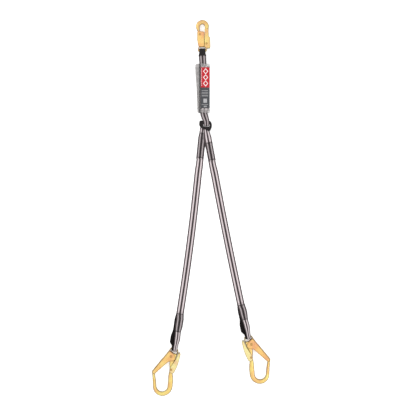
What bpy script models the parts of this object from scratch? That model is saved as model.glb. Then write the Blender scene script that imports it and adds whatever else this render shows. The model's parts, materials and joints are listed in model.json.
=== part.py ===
"""Twin shock-absorbing lanyard, laid out flat: snap hook, absorber pack and two legs
with scaffold hooks. Lengths in the outlines are millimetres; the objects are in metres.
The origin is the centre of the pack's underside, +Y runs to the snap hook, +Z is up."""
import math

import bmesh
import bpy
import numpy as np
from mathutils import Matrix, Vector

MM = 0.001

# Webbing
WEB_WIDTH = 28.0
WEB_THICK = 2.5
PLY_STEP = 2.8
EYE_WEB_WIDTH = 20.0
SNAP_EYE_WEB_WIDTH = 22.6
TOP_WEB_WIDTH = 22.0
LINING_THICK = 1.2
SLEEVE_THICK = 0.8
CLEARANCE = 0.3

# Scaffold hook: bar, eye and bow of the forged body
BAR_HALF = 6.5
BOW_OUTER_R = 36.8
BOW_INNER_R = 24.3
BOW_CENTRE = (-7.2, -154.0)
BOW_TURN = 11.4
GATE_PIVOT = (-5.0, -32.0)
GATE_END = (-54.7, -110.5)
LEVER_PIVOT = (9.5, -82.0)

# Snap hook
SNAP_HALF = 5.5
SNAP_GATE_PIVOT = (16.0, 30.0)
SNAP_LEVER_PIVOT = (-11.0, 66.0)
SNAP_BOW_CENTRE = (0.0, 98.0)
SNAP_BOW_R = 25.5

# Pressed channels: sheet, running gap, rivets and springs
SHEET = 1.6
RUNNING_GAP = 0.35
RIVET_R = 2.8
RIVET_HEAD_R = 4.6
RIVET_HEAD = 1.15
SPRING_WIRE = 0.55

# Where the hooks lie: eye bar centres, headings and the small tilt of a hook on a floor
SNAP_EYE = (-8.3, 147.3, 11.0)
LEFT_EYE = (-119.0, -1030.0, 15.8)
RIGHT_EYE = (171.5, -982.0, 15.8)
LEFT_HEADING = -15.5
RIGHT_HEADING = 15.5
HOOK_TILT = 2.75

# Absorber pack: clear sleeve, two folded tear webs, and the loop tails between them
PACK_HALF_LENGTH = 97.0
PACK_HALF_WIDTH = 22.0
PACK_HEIGHT = 30.0
COVER_WALL = 0.7
COVER_CORNER = 2.0
FIN_HALF = 1.1
TEAR_WIDTH = 38.0
TEAR_THICK = 3.2
TEAR_STEP = 3.6
TEAR_HALF_LENGTH = 86.0
TEAR_LOW_Z = 2.7
TEAR_HIGH_Z = 26.3
TAIL_Z = (13.1, 15.9)
TAIL_END = 20.0
LABEL_X = (-16.6, 20.4)
LABEL_Y = (-79.6, 81.6)
LABEL_Z = 28.5
LABEL_HALF = 0.25

# Loops of the pack's own webbing
TOP_LOOP_X = (-6.5, -8.5)
BOTTOM_LOOP_X = (-2.0, 8.0)
BOTTOM_BIGHT = (141.0, 8.65)
BOTTOM_BIGHT_R = 7.35
BAND_Z = (11.3, 14.1)

# Where the legs leave the hitch: pivot of each leg, and its lowest ply above the floor
LEFT_TOP = (-8.0, -167.0)
RIGHT_TOP = (8.5, -168.0)
RIGHT_LIFT = 5.6


def clear_scene():
    for item in list(bpy.data.objects):
        bpy.data.objects.remove(item, do_unlink=True)


def new_collection(name):
    group = bpy.data.collections.new(name)
    bpy.context.scene.collection.children.link(group)
    return group


def finish_of(name, colour, roughness, metallic, alpha=1.0):
    """A Principled material with one colour."""
    material = bpy.data.materials.new(name)
    material.use_nodes = True
    shader = material.node_tree.nodes["Principled BSDF"]
    shader.inputs["Base Color"].default_value = (*colour, 1.0)
    shader.inputs["Roughness"].default_value = roughness
    shader.inputs["Metallic"].default_value = metallic
    shader.inputs["Alpha"].default_value = alpha
    return material


def mesh_object(name, mesh, group):
    item = bpy.data.objects.new(name, mesh)
    group.objects.link(item)
    return item


def arc(centre, radius, start, end, count):
    """Points on an arc, angles in degrees, counter-clockwise when end is larger."""
    turn = np.radians(np.linspace(start, end, count))
    return [(centre[0] + radius * math.cos(a), centre[1] + radius * math.sin(a)) for a in turn]


def slot_loop(left, right, low, high, corner, count=4):
    """A rectangle with round corners."""
    return (arc((right - corner, low + corner), corner, -90, 0, count)
            + arc((right - corner, high - corner), corner, 0, 90, count)
            + arc((left + corner, high - corner), corner, 90, 180, count)
            + arc((left + corner, low + corner), corner, 180, 270, count))


def curve_to_mesh(curve, name):
    """The evaluated mesh of a curve with its caps welded."""
    holder = bpy.data.objects.new(name + "_curve", curve)
    bpy.context.scene.collection.objects.link(holder)
    depsgraph = bpy.context.evaluated_depsgraph_get()
    mesh = bpy.data.meshes.new_from_object(holder.evaluated_get(depsgraph))
    bpy.data.objects.remove(holder, do_unlink=True)
    shape = bmesh.new()
    shape.from_mesh(mesh)
    bmesh.ops.remove_doubles(shape, verts=shape.verts, dist=1e-6)
    bmesh.ops.recalc_face_normals(shape, faces=shape.faces)
    shape.to_mesh(mesh)
    shape.free()
    mesh.name = name
    return mesh


def plate(name, smooth_loops, sharp_loops, half, rounding, resolution=2, ring=1):
    """A flat outline with round edges, centred on the local XY plane.
    Smooth loops pass through their points; sharp loops join them with straight lines."""
    curve = bpy.data.curves.new(name + "_outline", "CURVE")
    curve.dimensions = "2D"
    curve.fill_mode = "BOTH"
    curve.resolution_u = resolution
    curve.extrude = (half - rounding) * MM
    curve.bevel_depth = rounding * MM
    curve.bevel_resolution = ring
    curve.offset = -rounding * MM
    for loop in smooth_loops:
        spline = curve.splines.new("BEZIER")
        spline.bezier_points.add(len(loop) - 1)
        for point, (x, y) in zip(spline.bezier_points, loop):
            point.co = (x * MM, y * MM, 0.0)
            point.handle_left_type = "AUTO"
            point.handle_right_type = "AUTO"
        spline.use_cyclic_u = True
    for loop in sharp_loops:
        spline = curve.splines.new("POLY")
        spline.points.add(len(loop) - 1)
        for point, (x, y) in zip(spline.points, loop):
            point.co = (x * MM, y * MM, 0.0, 1.0)
        spline.use_cyclic_u = True
    return curve_to_mesh(curve, name)


def cutter_object(mesh, centre=(0.0, 0.0)):
    item = mesh_object(mesh.name, mesh, CUTTERS)
    item.location = (centre[0] * MM, centre[1] * MM, 0.0)
    item.hide_render = True
    item.display_type = "WIRE"
    return item


def cylinder_cutter(name, centre, radius, half, sides=20):
    shape = bmesh.new()
    bmesh.ops.create_cone(shape, cap_ends=True, segments=sides, radius1=radius * MM,
                          radius2=radius * MM, depth=2.0 * half * MM)
    mesh = bpy.data.meshes.new(name)
    shape.to_mesh(mesh)
    shape.free()
    return cutter_object(mesh, centre)


def tidy_mesh(mesh):
    """Joins faces that lie in one plane and closes up slivers left by a cut."""
    shape = bmesh.new()
    shape.from_mesh(mesh)
    for _ in range(2):
        bmesh.ops.dissolve_limit(shape, angle_limit=math.radians(0.3), verts=shape.verts,
                                 edges=shape.edges, use_dissolve_boundaries=False)
        bmesh.ops.remove_doubles(shape, verts=shape.verts, dist=0.06 * MM)
    bmesh.ops.triangulate(shape, faces=shape.faces)
    bmesh.ops.recalc_face_normals(shape, faces=shape.faces)
    shape.to_mesh(mesh)
    shape.free()


def cut(mesh, cutters):
    """The mesh with each cutter taken away from it."""
    work = mesh_object(mesh.name + "_work", mesh, CUTTERS)
    for number, tool in enumerate(cutters):
        step = work.modifiers.new("cut%d" % number, "BOOLEAN")
        step.operation = "DIFFERENCE"
        step.solver = "EXACT"
        step.object = tool
    bpy.context.view_layer.update()
    depsgraph = bpy.context.evaluated_depsgraph_get()
    result = bpy.data.meshes.new_from_object(work.evaluated_get(depsgraph))
    result.name = mesh.name + "_cut"
    bpy.data.objects.remove(work, do_unlink=True)
    tidy_mesh(result)
    return result


def shift_mesh(mesh, centre):
    """Moves the mesh so that its pivot is the local origin."""
    mesh.transform(Matrix.Translation((-centre[0] * MM, -centre[1] * MM, 0.0)))
    return mesh


def turn_points(points, pivot, heading):
    """Points given along and across a ray from the pivot, as outline points.
    heading is the ray's direction in degrees; across is positive to its left."""
    along = (math.cos(math.radians(heading)), math.sin(math.radians(heading)))
    across = (-along[1], along[0])
    return [(pivot[0] + r * along[0] + q * across[0], pivot[1] + r * along[1] + q * across[1])
            for r, q in points]


def coil(name, points):
    """A round wire along the points."""
    curve = bpy.data.curves.new(name, "CURVE")
    curve.dimensions = "3D"
    curve.bevel_depth = SPRING_WIRE * MM
    curve.bevel_resolution = 2
    curve.use_fill_caps = True
    spline = curve.splines.new("POLY")
    spline.points.add(len(points) - 1)
    for point, place in zip(spline.points, points):
        point.co = (*[v * MM for v in place], 1.0)
    return curve_to_mesh(curve, name)


def torsion_points(radius, turns, width, start, leg_end, tail_end):
    """A torsion spring about the local Z axis: a straight tail, the turns, a straight leg."""
    count = int(turns * 9) + 1
    angle = np.radians(start) + np.linspace(0.0, turns * 2.0 * math.pi, count)
    height = np.linspace(-width / 2.0, width / 2.0, count)
    ring = [(radius * math.cos(a), radius * math.sin(a), h) for a, h in zip(angle, height)]
    return [(*tail_end, -width / 2.0)] + ring + [(*leg_end, width / 2.0)]


def compression_points(start_x, end_x, radius, turns):
    """A compression spring along the local X axis with its end turns closed."""
    count = int(turns * 8) + 1
    share = np.linspace(0.0, 1.0, count)
    eased = share + 0.07 * np.sin(2.0 * math.pi * share)
    angle = share * turns * 2.0 * math.pi
    return [(start_x + (end_x - start_x) * e, radius * math.cos(a), radius * math.sin(a))
            for e, a in zip(eased, angle)]


def rivet(name, half_grip):
    """A round-headed rivet on the local Z axis, turned from its half profile."""
    top = half_grip + RIVET_HEAD
    edge = half_grip + 0.35
    upper = [(0.0, top), (RIVET_HEAD_R * 0.55, top - 0.15), (RIVET_HEAD_R * 0.88, top - 0.55),
             (RIVET_HEAD_R, edge), (RIVET_HEAD_R, half_grip), (RIVET_R, half_grip)]
    profile = upper + [(r, -z) for r, z in reversed(upper)]
    mesh = bpy.data.meshes.new(name)
    points = [(r * MM, 0.0, z * MM) for r, z in profile]
    mesh.from_pydata(points, [(i, i + 1) for i in range(len(points) - 1)], [])
    work = mesh_object(name + "_work", mesh, CUTTERS)
    spin = work.modifiers.new("spin", "SCREW")
    spin.steps = 14
    spin.render_steps = 14
    spin.use_merge_vertices = True
    spin.merge_threshold = 0.00001
    depsgraph = bpy.context.evaluated_depsgraph_get()
    result = bpy.data.meshes.new_from_object(work.evaluated_get(depsgraph))
    result.name = name + "_turned"
    bpy.data.objects.remove(work, do_unlink=True)
    return result


def place(name, mesh, material, holder, pivot=(0.0, 0.0, 0.0)):
    """Links a mesh under its hook's empty, with the object's origin on the pivot."""
    item = mesh_object(name, mesh, PARTS)
    item.data.materials.clear()
    item.data.materials.append(material)
    item.parent = holder
    item.location = [v * MM for v in pivot]
    item.data.shade_smooth()
    item.data.set_sharp_from_angle(angle=math.radians(35))
    return item


def holder_empty(name, matrix):
    empty = bpy.data.objects.new(name, None)
    PARTS.objects.link(empty)
    empty.matrix_world = matrix
    return empty


# Scaffold hook

GATE_HEADING = math.degrees(math.atan2(GATE_END[1] - GATE_PIVOT[1],
                                       GATE_END[0] - GATE_PIVOT[0]))
GATE_IN = BAR_HALF + RUNNING_GAP
GATE_OUT = GATE_IN + SHEET
LEVER_IN = GATE_OUT + RUNNING_GAP
LEVER_OUT = LEVER_IN + SHEET


def scaffold_body():
    """Forged J-shaped body: eye, head plate, spine, bow and nose."""
    bow_outer = arc(BOW_CENTRE, BOW_OUTER_R, 180 + BOW_TURN, 360 + BOW_TURN, 7)
    bow_inner = arc(BOW_CENTRE, BOW_INNER_R, 360 + BOW_TURN, 180 + BOW_TURN, 7)
    limb_outside = [(-60.4, -112.5), (-58.0, -119), (-53.0, -133), (-47.8, -147)]
    limb_inside = [(-36.5, -143), (-42.0, -130), (-46.8, -120)]
    finger = turn_points([(91.0, 5.2), (83.0, 5.0), (78.5, 0.5), (82.0, -4.6), (92.0, -5.6)],
                         GATE_PIVOT, GATE_HEADING)
    eye_outside = [(16.6, -22), (18.0, -11), (15.0, -0.5), (8.0, 3.5), (-8.0, 3.5),
                   (-15.0, -0.5), (-18.0, -11), (-15.4, -21), (-12.6, -25.0)]
    outer = (limb_outside + bow_outer
             + [(21.5, -110), (15.0, -79), (12.6, -62), (14.4, -40)]
             + eye_outside
             + arc(GATE_PIVOT, 10.2, 146, 238, 5)
             + [(-5.6, -50), (-2.6, -63), (2.7, -81), (8.8, -110)]
             + bow_inner + limb_inside + finger)
    eye = slot_loop(-13.6, 13.6, -17.5, -3.5, 3.0)
    blank = plate("scaffold_body", [outer], [eye[::-1]], BAR_HALF, 3.0)
    tools = [cylinder_cutter("scaffold_gate_bore", GATE_PIVOT, RIVET_R + 0.1, 20.0),
             cylinder_cutter("scaffold_lever_bore", LEVER_PIVOT, RIVET_R + 0.1, 20.0)]
    pocket = turn_points([(-7.5, 7.0), (-7.5, -16.0), (16.0, -16.0), (16.0, 0.0), (7.0, 7.0)],
                         GATE_PIVOT, GATE_HEADING)
    tools.append(cutter_object(plate("scaffold_spring_slot", [], [pocket], 2.6, 0.0, ring=0)))
    return cut(blank, tools)


def scaffold_gate():
    """Pressed channel: closed on its outside beside the pivot, on its inside at the nose."""
    cheek = [(-7.5, -21.9), (95.0, -6.8), (99.0, -3.0), (99.0, 4.0), (95.0, 8.0),
             (30.0, 8.4), (20.0, 9.4), (13.0, 14.0), (6.0, 19.0), (-3.0, 20.5),
             (-10.0, 16.5), (-14.5, 5.0), (-15.4, -7.0), (-13.0, -19.0)]
    hollow = [(-30.0, 30.0), (-30.0, -30.0), (3.0, -30.0), (3.0, -18.7), (26.0, -15.3),
              (26.0, -30.0), (120.0, -30.0), (120.0, 30.0), (90.0, 30.0), (90.0, 6.4),
              (46.0, 6.4), (46.0, 30.0)]
    blank = plate("scaffold_gate", [], [turn_points(cheek, GATE_PIVOT, GATE_HEADING)],
                  GATE_OUT, 1.0)
    inside = plate("scaffold_gate_hollow", [], [turn_points(hollow, GATE_PIVOT, GATE_HEADING)],
                   GATE_IN, 0.0, ring=0)
    bore = cylinder_cutter("scaffold_gate_cheek_bore", GATE_PIVOT, RIVET_R + 0.1, 20.0)
    return shift_mesh(cut(blank, [cutter_object(inside), bore]), GATE_PIVOT)


def scaffold_lever():
    """Pressed lock lever over the spine: closed on its back, with a low cheek at its free end."""
    cheek = [(20.0, -10.5), (26.0, -10.0), (29.5, -16.0), (30.0, -48.0), (28.0, -70.0),
             (24.0, -89.0), (18.5, -96.5), (9.5, -96.0), (4.5, -90.0), (3.5, -80.0),
             (5.0, -70.0), (8.5, -60.0), (12.5, -48.0), (16.0, -36.0), (18.5, -22.0)]
    hollow = [(-15.0, -3.0), (-15.0, -115.0), (20.0, -115.0), (22.4, -89.0), (26.4, -70.0),
              (28.4, -48.0), (27.9, -16.6), (25.2, -11.6), (24.0, -3.0)]
    blank = plate("scaffold_lever", [], [cheek], LEVER_OUT, 1.0)
    inside = plate("scaffold_lever_hollow", [], [hollow], LEVER_IN, 0.0, ring=0)
    bore = cylinder_cutter("scaffold_lever_cheek_bore", LEVER_PIVOT, RIVET_R + 0.1, 20.0)
    return shift_mesh(cut(blank, [cutter_object(inside), bore]), LEVER_PIVOT)


def build_scaffold_hooks():
    """Both hooks share their meshes; the right one is the same hook turned over."""
    gate_leg = turn_points([(13.0, -16.4)], (0.0, 0.0), GATE_HEADING)[0]
    gate_tail = (2.0, 5.16)
    shapes = {
        "body": (scaffold_body(), FORGED, (0.0, 0.0)),
        "gate": (scaffold_gate(), PLATED_SHEET, GATE_PIVOT),
        "gate_rivet": (rivet("scaffold_gate_rivet", GATE_OUT + 0.05), RIVET_STEEL, GATE_PIVOT),
        "gate_spring": (coil("scaffold_gate_spring", torsion_points(
            4.3, 3, 3.9, 107.8, gate_leg, gate_tail)), SPRING_STEEL, GATE_PIVOT),
        "lock_lever": (scaffold_lever(), PLATED_SHEET, LEVER_PIVOT),
        "lever_rivet": (rivet("scaffold_lever_rivet", LEVER_OUT + 0.05), RIVET_STEEL,
                        LEVER_PIVOT),
        "lever_spring": (coil("scaffold_lever_spring", compression_points(
            14.3, 26.7, 3.0, 4)), SPRING_STEEL, (0.0, -56.0)),
    }
    for side, eye, heading, flip in (("left", LEFT_EYE, LEFT_HEADING, 0.0),
                                     ("right", RIGHT_EYE, RIGHT_HEADING, 180.0)):
        matrix = (Matrix.Translation(Vector(eye) * MM)
                  @ Matrix.Rotation(math.radians(heading), 4, "Z")
                  @ Matrix.Rotation(math.radians(HOOK_TILT), 4, "X")
                  @ Matrix.Rotation(math.radians(flip), 4, "Y"))
        holder = holder_empty(side + "_hook_axis", matrix)
        for piece, (mesh, material, pivot) in shapes.items():
            place("%s_hook_%s" % (side, piece), mesh, material, holder, (*pivot, 0.0))


# Snap hook

SNAP_GATE_IN = SNAP_HALF + RUNNING_GAP
SNAP_GATE_OUT = SNAP_GATE_IN + SHEET
SNAP_LEVER_IN = SNAP_GATE_OUT + RUNNING_GAP
SNAP_LEVER_OUT = SNAP_LEVER_IN + SHEET


def snap_body():
    """Forged body: webbing eye, waist, spine, round bow and nose."""
    bow = arc(SNAP_BOW_CENTRE, SNAP_BOW_R, 200, -12, 8)
    outer = ([(-10.0, -3.5), (-16.5, -0.5), (-17.8, 8.0), (-14.8, 17.0), (-8.4, 24.0),
              (-7.6, 38.0), (-11.6, 51.0), (-16.4, 64.0), (-18.0, 77.0)]
             + bow
             + [(22.5, 86.0), (17.5, 84.0), (12.5, 86.0), (10.6, 93.0), (7.0, 103.0),
                (0.0, 107.0), (-7.0, 103.5), (-10.2, 95.0), (-9.8, 80.0), (-6.5, 64.0),
                (-3.0, 54.0), (3.0, 48.5), (12.0, 48.0), (20.5, 43.0), (23.5, 33.0),
                (21.5, 23.0), (18.0, 16.0), (17.6, 6.0), (15.0, -1.0), (9.0, -3.5)])
    eye = slot_loop(-13.2, 12.8, 3.5, 16.0, 3.0)
    blank = plate("snap_body", [outer], [eye[::-1]], SNAP_HALF, 2.4)
    tools = [cylinder_cutter("snap_gate_bore", SNAP_GATE_PIVOT, RIVET_R + 0.1, 20.0),
             cylinder_cutter("snap_lever_bore", SNAP_LEVER_PIVOT, RIVET_R + 0.1, 20.0)]
    gx, gy = SNAP_GATE_PIVOT
    pocket = [(gx - 6.5, gy - 6.5), (gx + 16.0, gy - 6.5), (gx + 16.0, gy + 22.0),
              (gx + 1.0, gy + 22.0), (gx - 6.5, gy + 8.0)]
    tools.append(cutter_object(plate("snap_spring_slot", [], [pocket], 2.4, 0.0, ring=0)))
    return cut(blank, tools)


def snap_gate():
    """Pressed channel: thumb pad closed on its outside, finger closed on its inside."""
    cheek = [(14.5, 11.5), (28.5, 11.5), (31.3, 14.5), (30.0, 54.0), (24.6, 60.0),
             (24.4, 87.0), (21.5, 89.0), (11.0, 89.0), (8.5, 86.5), (8.4, 17.5)]
    hollow = [(-5.0, 0.0), (29.6, 0.0), (28.4, 53.0), (28.4, 58.5), (40.0, 58.5),
              (40.0, 100.0), (10.1, 100.0), (10.1, 57.0), (-5.0, 57.0)]
    blank = plate("snap_gate", [], [cheek], SNAP_GATE_OUT, 0.9)
    inside = plate("snap_gate_hollow", [], [hollow], SNAP_GATE_IN, 0.0, ring=0)
    bore = cylinder_cutter("snap_gate_cheek_bore", SNAP_GATE_PIVOT, RIVET_R + 0.1, 20.0)
    return shift_mesh(cut(blank, [cutter_object(inside), bore]), SNAP_GATE_PIVOT)


def snap_lever():
    """Pressed lock lever that wraps the spine from behind."""
    cheek = [(-13.0, 16.5), (4.0, 16.5), (7.6, 19.5), (7.9, 74.0), (5.0, 77.0), (-17.0, 79.0),
             (-20.4, 76.0), (-20.5, 48.0), (-18.0, 31.0), (-15.0, 18.0)]
    hollow = [(20.0, 5.0), (20.0, 90.0), (-18.7, 90.0), (-18.8, 48.0), (-16.4, 31.0),
              (-14.2, 22.0), (-30.0, 22.0), (-30.0, 5.0)]
    blank = plate("snap_lever", [], [cheek], SNAP_LEVER_OUT, 0.9)
    inside = plate("snap_lever_hollow", [], [hollow], SNAP_LEVER_IN, 0.0, ring=0)
    bore = cylinder_cutter("snap_lever_cheek_bore", SNAP_LEVER_PIVOT, RIVET_R + 0.1, 20.0)
    return shift_mesh(cut(blank, [cutter_object(inside), bore]), SNAP_LEVER_PIVOT)


def build_snap_hook():
    holder = holder_empty("snap_hook_axis", Matrix.Translation(Vector(SNAP_EYE) * MM))
    spring = torsion_points(4.2, 3, 3.6, -22, (10.9, 16.0), (2.2, -5.7))
    place("snap_hook_body", snap_body(), FORGED, holder)
    place("snap_hook_gate", snap_gate(), PLATED_SHEET, holder, (*SNAP_GATE_PIVOT, 0.0))
    place("snap_hook_gate_rivet", rivet("snap_gate_rivet", SNAP_GATE_OUT + 0.05), RIVET_STEEL,
          holder, (*SNAP_GATE_PIVOT, 0.0))
    place("snap_hook_gate_spring", coil("snap_gate_spring", spring), SPRING_STEEL, holder,
          (*SNAP_GATE_PIVOT, 0.0))
    place("snap_hook_lock_lever", snap_lever(), PLATED_SHEET, holder, (*SNAP_LEVER_PIVOT, 0.0))
    place("snap_hook_lever_rivet", rivet("snap_lever_rivet", SNAP_LEVER_OUT + 0.05),
          RIVET_STEEL, holder, (*SNAP_LEVER_PIVOT, 0.0))
    place("snap_hook_lever_spring", coil("snap_lever_spring", compression_points(
        -16.4, -9.6, 2.6, 3)), SPRING_STEEL, holder, (0.0, 38.0, 0.0))


# Webbing: a strip of cloth along a path in the plane of its loop, given its thickness last

def smooth_step(value, start, end):
    share = np.clip((np.asarray(value, float) - start) / (end - start), 0.0, 1.0)
    return share * share * (3.0 - 2.0 * share)


def ribbon(name, path, centre, width, thick, group, lean=None):
    """A strip whose centreline in the side view is path, a list of (distance, height).
    centre gives the strip's plan position at a distance, width its full width there, and
    lean how far a ply stands aside at a distance and height."""
    path = np.asarray(path, float)
    along = path[:, 0]
    middle = np.array([centre(s) for s in along])
    ahead = np.array([centre(s + 1.0) for s in along])
    forward = ahead - middle
    forward /= np.linalg.norm(forward, axis=1)[:, None]
    side = np.stack([-forward[:, 1], forward[:, 0]], axis=1)
    half = 0.5 * np.array([width(s) for s in along])
    aside = np.zeros(len(along))
    if lean is not None:
        aside = np.array([lean(s, h) for s, h in path])
    shape = bmesh.new()
    bmesh.ops.create_grid(shape, x_segments=1, y_segments=len(path) - 1, size=0.5)
    order = sorted(shape.verts, key=lambda v: (round(v.co.y, 6), v.co.x))
    for index, vert in enumerate(order):
        row, column = divmod(index, 2)
        spot = middle[row] + side[row] * (aside[row] + (2 * column - 1) * half[row])
        vert.co = Vector((spot[0], spot[1], path[row, 1])) * MM
    mesh = bpy.data.meshes.new(name)
    shape.to_mesh(mesh)
    shape.free()
    item = mesh_object(name, mesh, group)
    wall = item.modifiers.new("thickness", "SOLIDIFY")
    wall.thickness = thick * MM
    wall.offset = 0.0
    wall.use_even_offset = True
    return item


def web_piece(name, path, centre, width, material, thick=WEB_THICK, lean=None):
    item = ribbon(name, path, centre, width, thick, PARTS, lean)
    item.data.materials.append(material)
    return item


def hermite(start, start_way, end, end_way, pull, count):
    """A smooth curve between two points with given directions."""
    result = []
    for t in np.linspace(0.0, 1.0, count):
        a = 2 * t ** 3 - 3 * t ** 2 + 1
        b = t ** 3 - 2 * t ** 2 + t
        c = -2 * t ** 3 + 3 * t ** 2
        d = t ** 3 - t ** 2
        result.append(tuple(a * start[k] + b * pull * start_way[k] + c * end[k]
                            + d * pull * end_way[k] for k in (0, 1)))
    return result


def eye_loop(bar, radius, reach, low, high, count=9):
    """Side view of a loop about a bar: the lower ply, the turn and the upper ply.
    reach is where the plies part, low and high their heights there."""
    distance, height = bar
    under = hermite((distance - reach, low), (1.0, -0.05), (distance, height - radius),
                    (1.0, 0.0), reach * 0.75, count)
    turn = [(distance + radius * math.sin(a), height - radius * math.cos(a))
            for a in np.radians(np.arange(20.0, 161.0, 20.0))]
    over = hermite((distance, height + radius), (-1.0, 0.0), (distance - reach, high),
                   (-1.0, -0.1), reach * 0.75, count)
    return under + turn + over


def inner_path(path, step, bar, reach):
    """The part of a loop's path within reach of the bar, moved inwards by step."""
    path = np.asarray(path, float)
    tangent = np.gradient(path, axis=0)
    tangent /= np.linalg.norm(tangent, axis=1)[:, None]
    moved = path + np.stack([-tangent[:, 1], tangent[:, 0]], axis=1) * step
    return [tuple(p) for p in moved if p[0] > bar[0] - reach]


def leg_plan(top, eye, bow):
    """Plan position of a leg at a distance from the hitch: nearly straight, bowed a little."""
    top = np.array(top)
    way = np.array(eye[:2]) - top
    length = float(np.linalg.norm(way))
    way = way / length
    aside = np.array([-way[1], way[0]])

    def centre(distance):
        share = min(max(distance / length, 0.0), 1.0)
        return top + way * distance + aside * bow * math.sin(math.pi * share)
    return centre, length


SCAFFOLD_BAR_R = 6.9
LEG_LOOP_R = SCAFFOLD_BAR_R + 0.8 + LINING_THICK + CLEARANCE + WEB_THICK / 2.0
SEWN_END = 50.0


def build_legs():
    low = WEB_THICK / 2.0
    high = low + WEB_THICK + LINING_THICK + 2.0 * CLEARANCE
    turn = PLY_STEP / 2.0
    legs = (("left", LEFT_TOP, LEFT_EYE, 0.0, 8.5, (112.0, 726.0), (230.0, 420.0)),
            ("right", RIGHT_TOP, RIGHT_EYE, RIGHT_LIFT, -4.0, (121.0, 698.0), (130.0, 330.0)))
    for side, top, eye, lift, bow, zones, settle in legs:
        centre, length = leg_plan(top, eye, bow)

        def width(distance, end=length):
            gathered = (WEB_WIDTH - EYE_WEB_WIDTH) * smooth_step(distance, end - 48, end - 13)
            bunched = (WEB_WIDTH - TOP_WEB_WIDTH) * (1.0 - smooth_step(distance, 0, 30))
            return WEB_WIDTH - float(gathered) - float(bunched)

        def lean(distance, height, end=length, seam=zones[1]):
            spread = (3.0 * float(smooth_step(distance, seam, seam + 30.0))
                      + 2.0 * float(smooth_step(distance, end - 75, end - 45)))
            gather = float(smooth_step(distance, end - 46, end - 16))
            upper_share = float(smooth_step(height, low + 1.2, high - 1.2))
            return spread * (1.0 - gather) * (2.0 * upper_share - 1.0) + 1.2 * gather

        def lining_lean(distance, height, end=length, seam=zones[1]):
            spread = (-3.0 * float(smooth_step(distance, seam, seam + 30.0))
                      - 4.5 * float(smooth_step(distance, end - 75, end - 45)))
            gather = float(smooth_step(distance, end - 40, end - 22))
            return spread * (1.0 - gather) - 1.2 * gather

        start = -11.0
        upper = [(s, lift + low + PLY_STEP) for s in np.linspace(zones[0], start + turn, 9)]
        fold = [(start + turn - turn * math.sin(a), lift + low + turn + turn * math.cos(a))
                for a in np.radians([45, 90, 135])]
        run_s = np.linspace(start + turn, length - SEWN_END - 12.0, 46)
        run_z = low + lift * (1.0 - smooth_step(run_s, settle[0], settle[1]))
        loop = eye_loop((length, eye[2]), LEG_LOOP_R, SEWN_END, low, high)
        back = [(s, high) for s in np.linspace(length - SEWN_END - 12.0, zones[1], 6)]
        path = upper + fold + list(zip(run_s, run_z)) + loop + back
        web_piece(side + "_leg_webbing", path, centre, width, WEBBING, lean=lean)
        middle = low + WEB_THICK / 2.0 + CLEARANCE + LINING_THICK / 2.0
        step = middle - low
        lining = ([(s, middle) for s in np.linspace(zones[1] + 1.0, length - SEWN_END - 8.0, 6)]
                  + inner_path(loop, step, (length, eye[2]), SEWN_END)[1:-9])
        web_piece(side + "_leg_loop_lining", lining, centre, width, BLACK_WEB, LINING_THICK,
                  lining_lean)


def straight_plan(start_x, end_x, start_s, end_s):
    """Plan position along -Y for a strap that moves sideways between two distances."""
    def centre(distance):
        share = float(smooth_step(distance, start_s, end_s))
        return np.array([start_x + (end_x - start_x) * share, -distance])
    return centre


def build_top_loop():
    """Webbing loop through the snap hook's eye, with a black sleeve where it bears."""
    bar_r = 5.7
    radius = bar_r + 0.8 + SLEEVE_THICK + CLEARANCE + WEB_THICK / 2.0
    bar = (SNAP_EYE[1], SNAP_EYE[2])

    def centre(distance):
        share = float(smooth_step(distance, PACK_HALF_LENGTH, bar[0] - 8.0))
        x = TOP_LOOP_X[0] + (TOP_LOOP_X[1] - TOP_LOOP_X[0]) * share
        return np.array([x, distance])

    def width(distance):
        return WEB_WIDTH - (WEB_WIDTH - SNAP_EYE_WEB_WIDTH) * float(
            smooth_step(distance, bar[0] - 18.0, bar[0] - 8.5))

    loop = eye_loop(bar, radius, bar[0] - PACK_HALF_LENGTH + 4.0, *TAIL_Z, count=8)
    lower = [(s, TAIL_Z[0]) for s in np.linspace(TAIL_END, 80.0, 3)]
    upper = [(s, TAIL_Z[1]) for s in np.linspace(80.0, TAIL_END, 3)]
    web_piece("top_loop_webbing", lower + loop + upper, centre, width, WEBBING)

    sleeve_path = [p for p in loop if p[0] > bar[0] - 21.0]
    outer = ribbon("sleeve_outer", sleeve_path, centre,
                   lambda s: width(s) + 2.0 * (CLEARANCE + SLEEVE_THICK),
                   WEB_THICK + 2.0 * (CLEARANCE + SLEEVE_THICK), CUTTERS)
    longer = [p for p in loop if p[0] > bar[0] - 30.0]
    inside = ribbon("sleeve_hollow", longer, centre, lambda s: width(s) + 2.0 * CLEARANCE,
                    WEB_THICK + 2.0 * CLEARANCE, CUTTERS)
    inside.hide_render = True
    inside.display_type = "WIRE"
    hollow = outer.modifiers.new("hollow", "BOOLEAN")
    hollow.operation = "DIFFERENCE"
    hollow.solver = "EXACT"
    hollow.object = inside
    bpy.context.view_layer.update()
    depsgraph = bpy.context.evaluated_depsgraph_get()
    mesh = bpy.data.meshes.new_from_object(outer.evaluated_get(depsgraph))
    bpy.data.objects.remove(outer, do_unlink=True)
    tidy_mesh(mesh)
    sleeve = mesh_object("top_loop_wear_sleeve", mesh, PARTS)
    mesh.materials.clear()
    mesh.materials.append(BLACK_WEB)
    return sleeve


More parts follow.
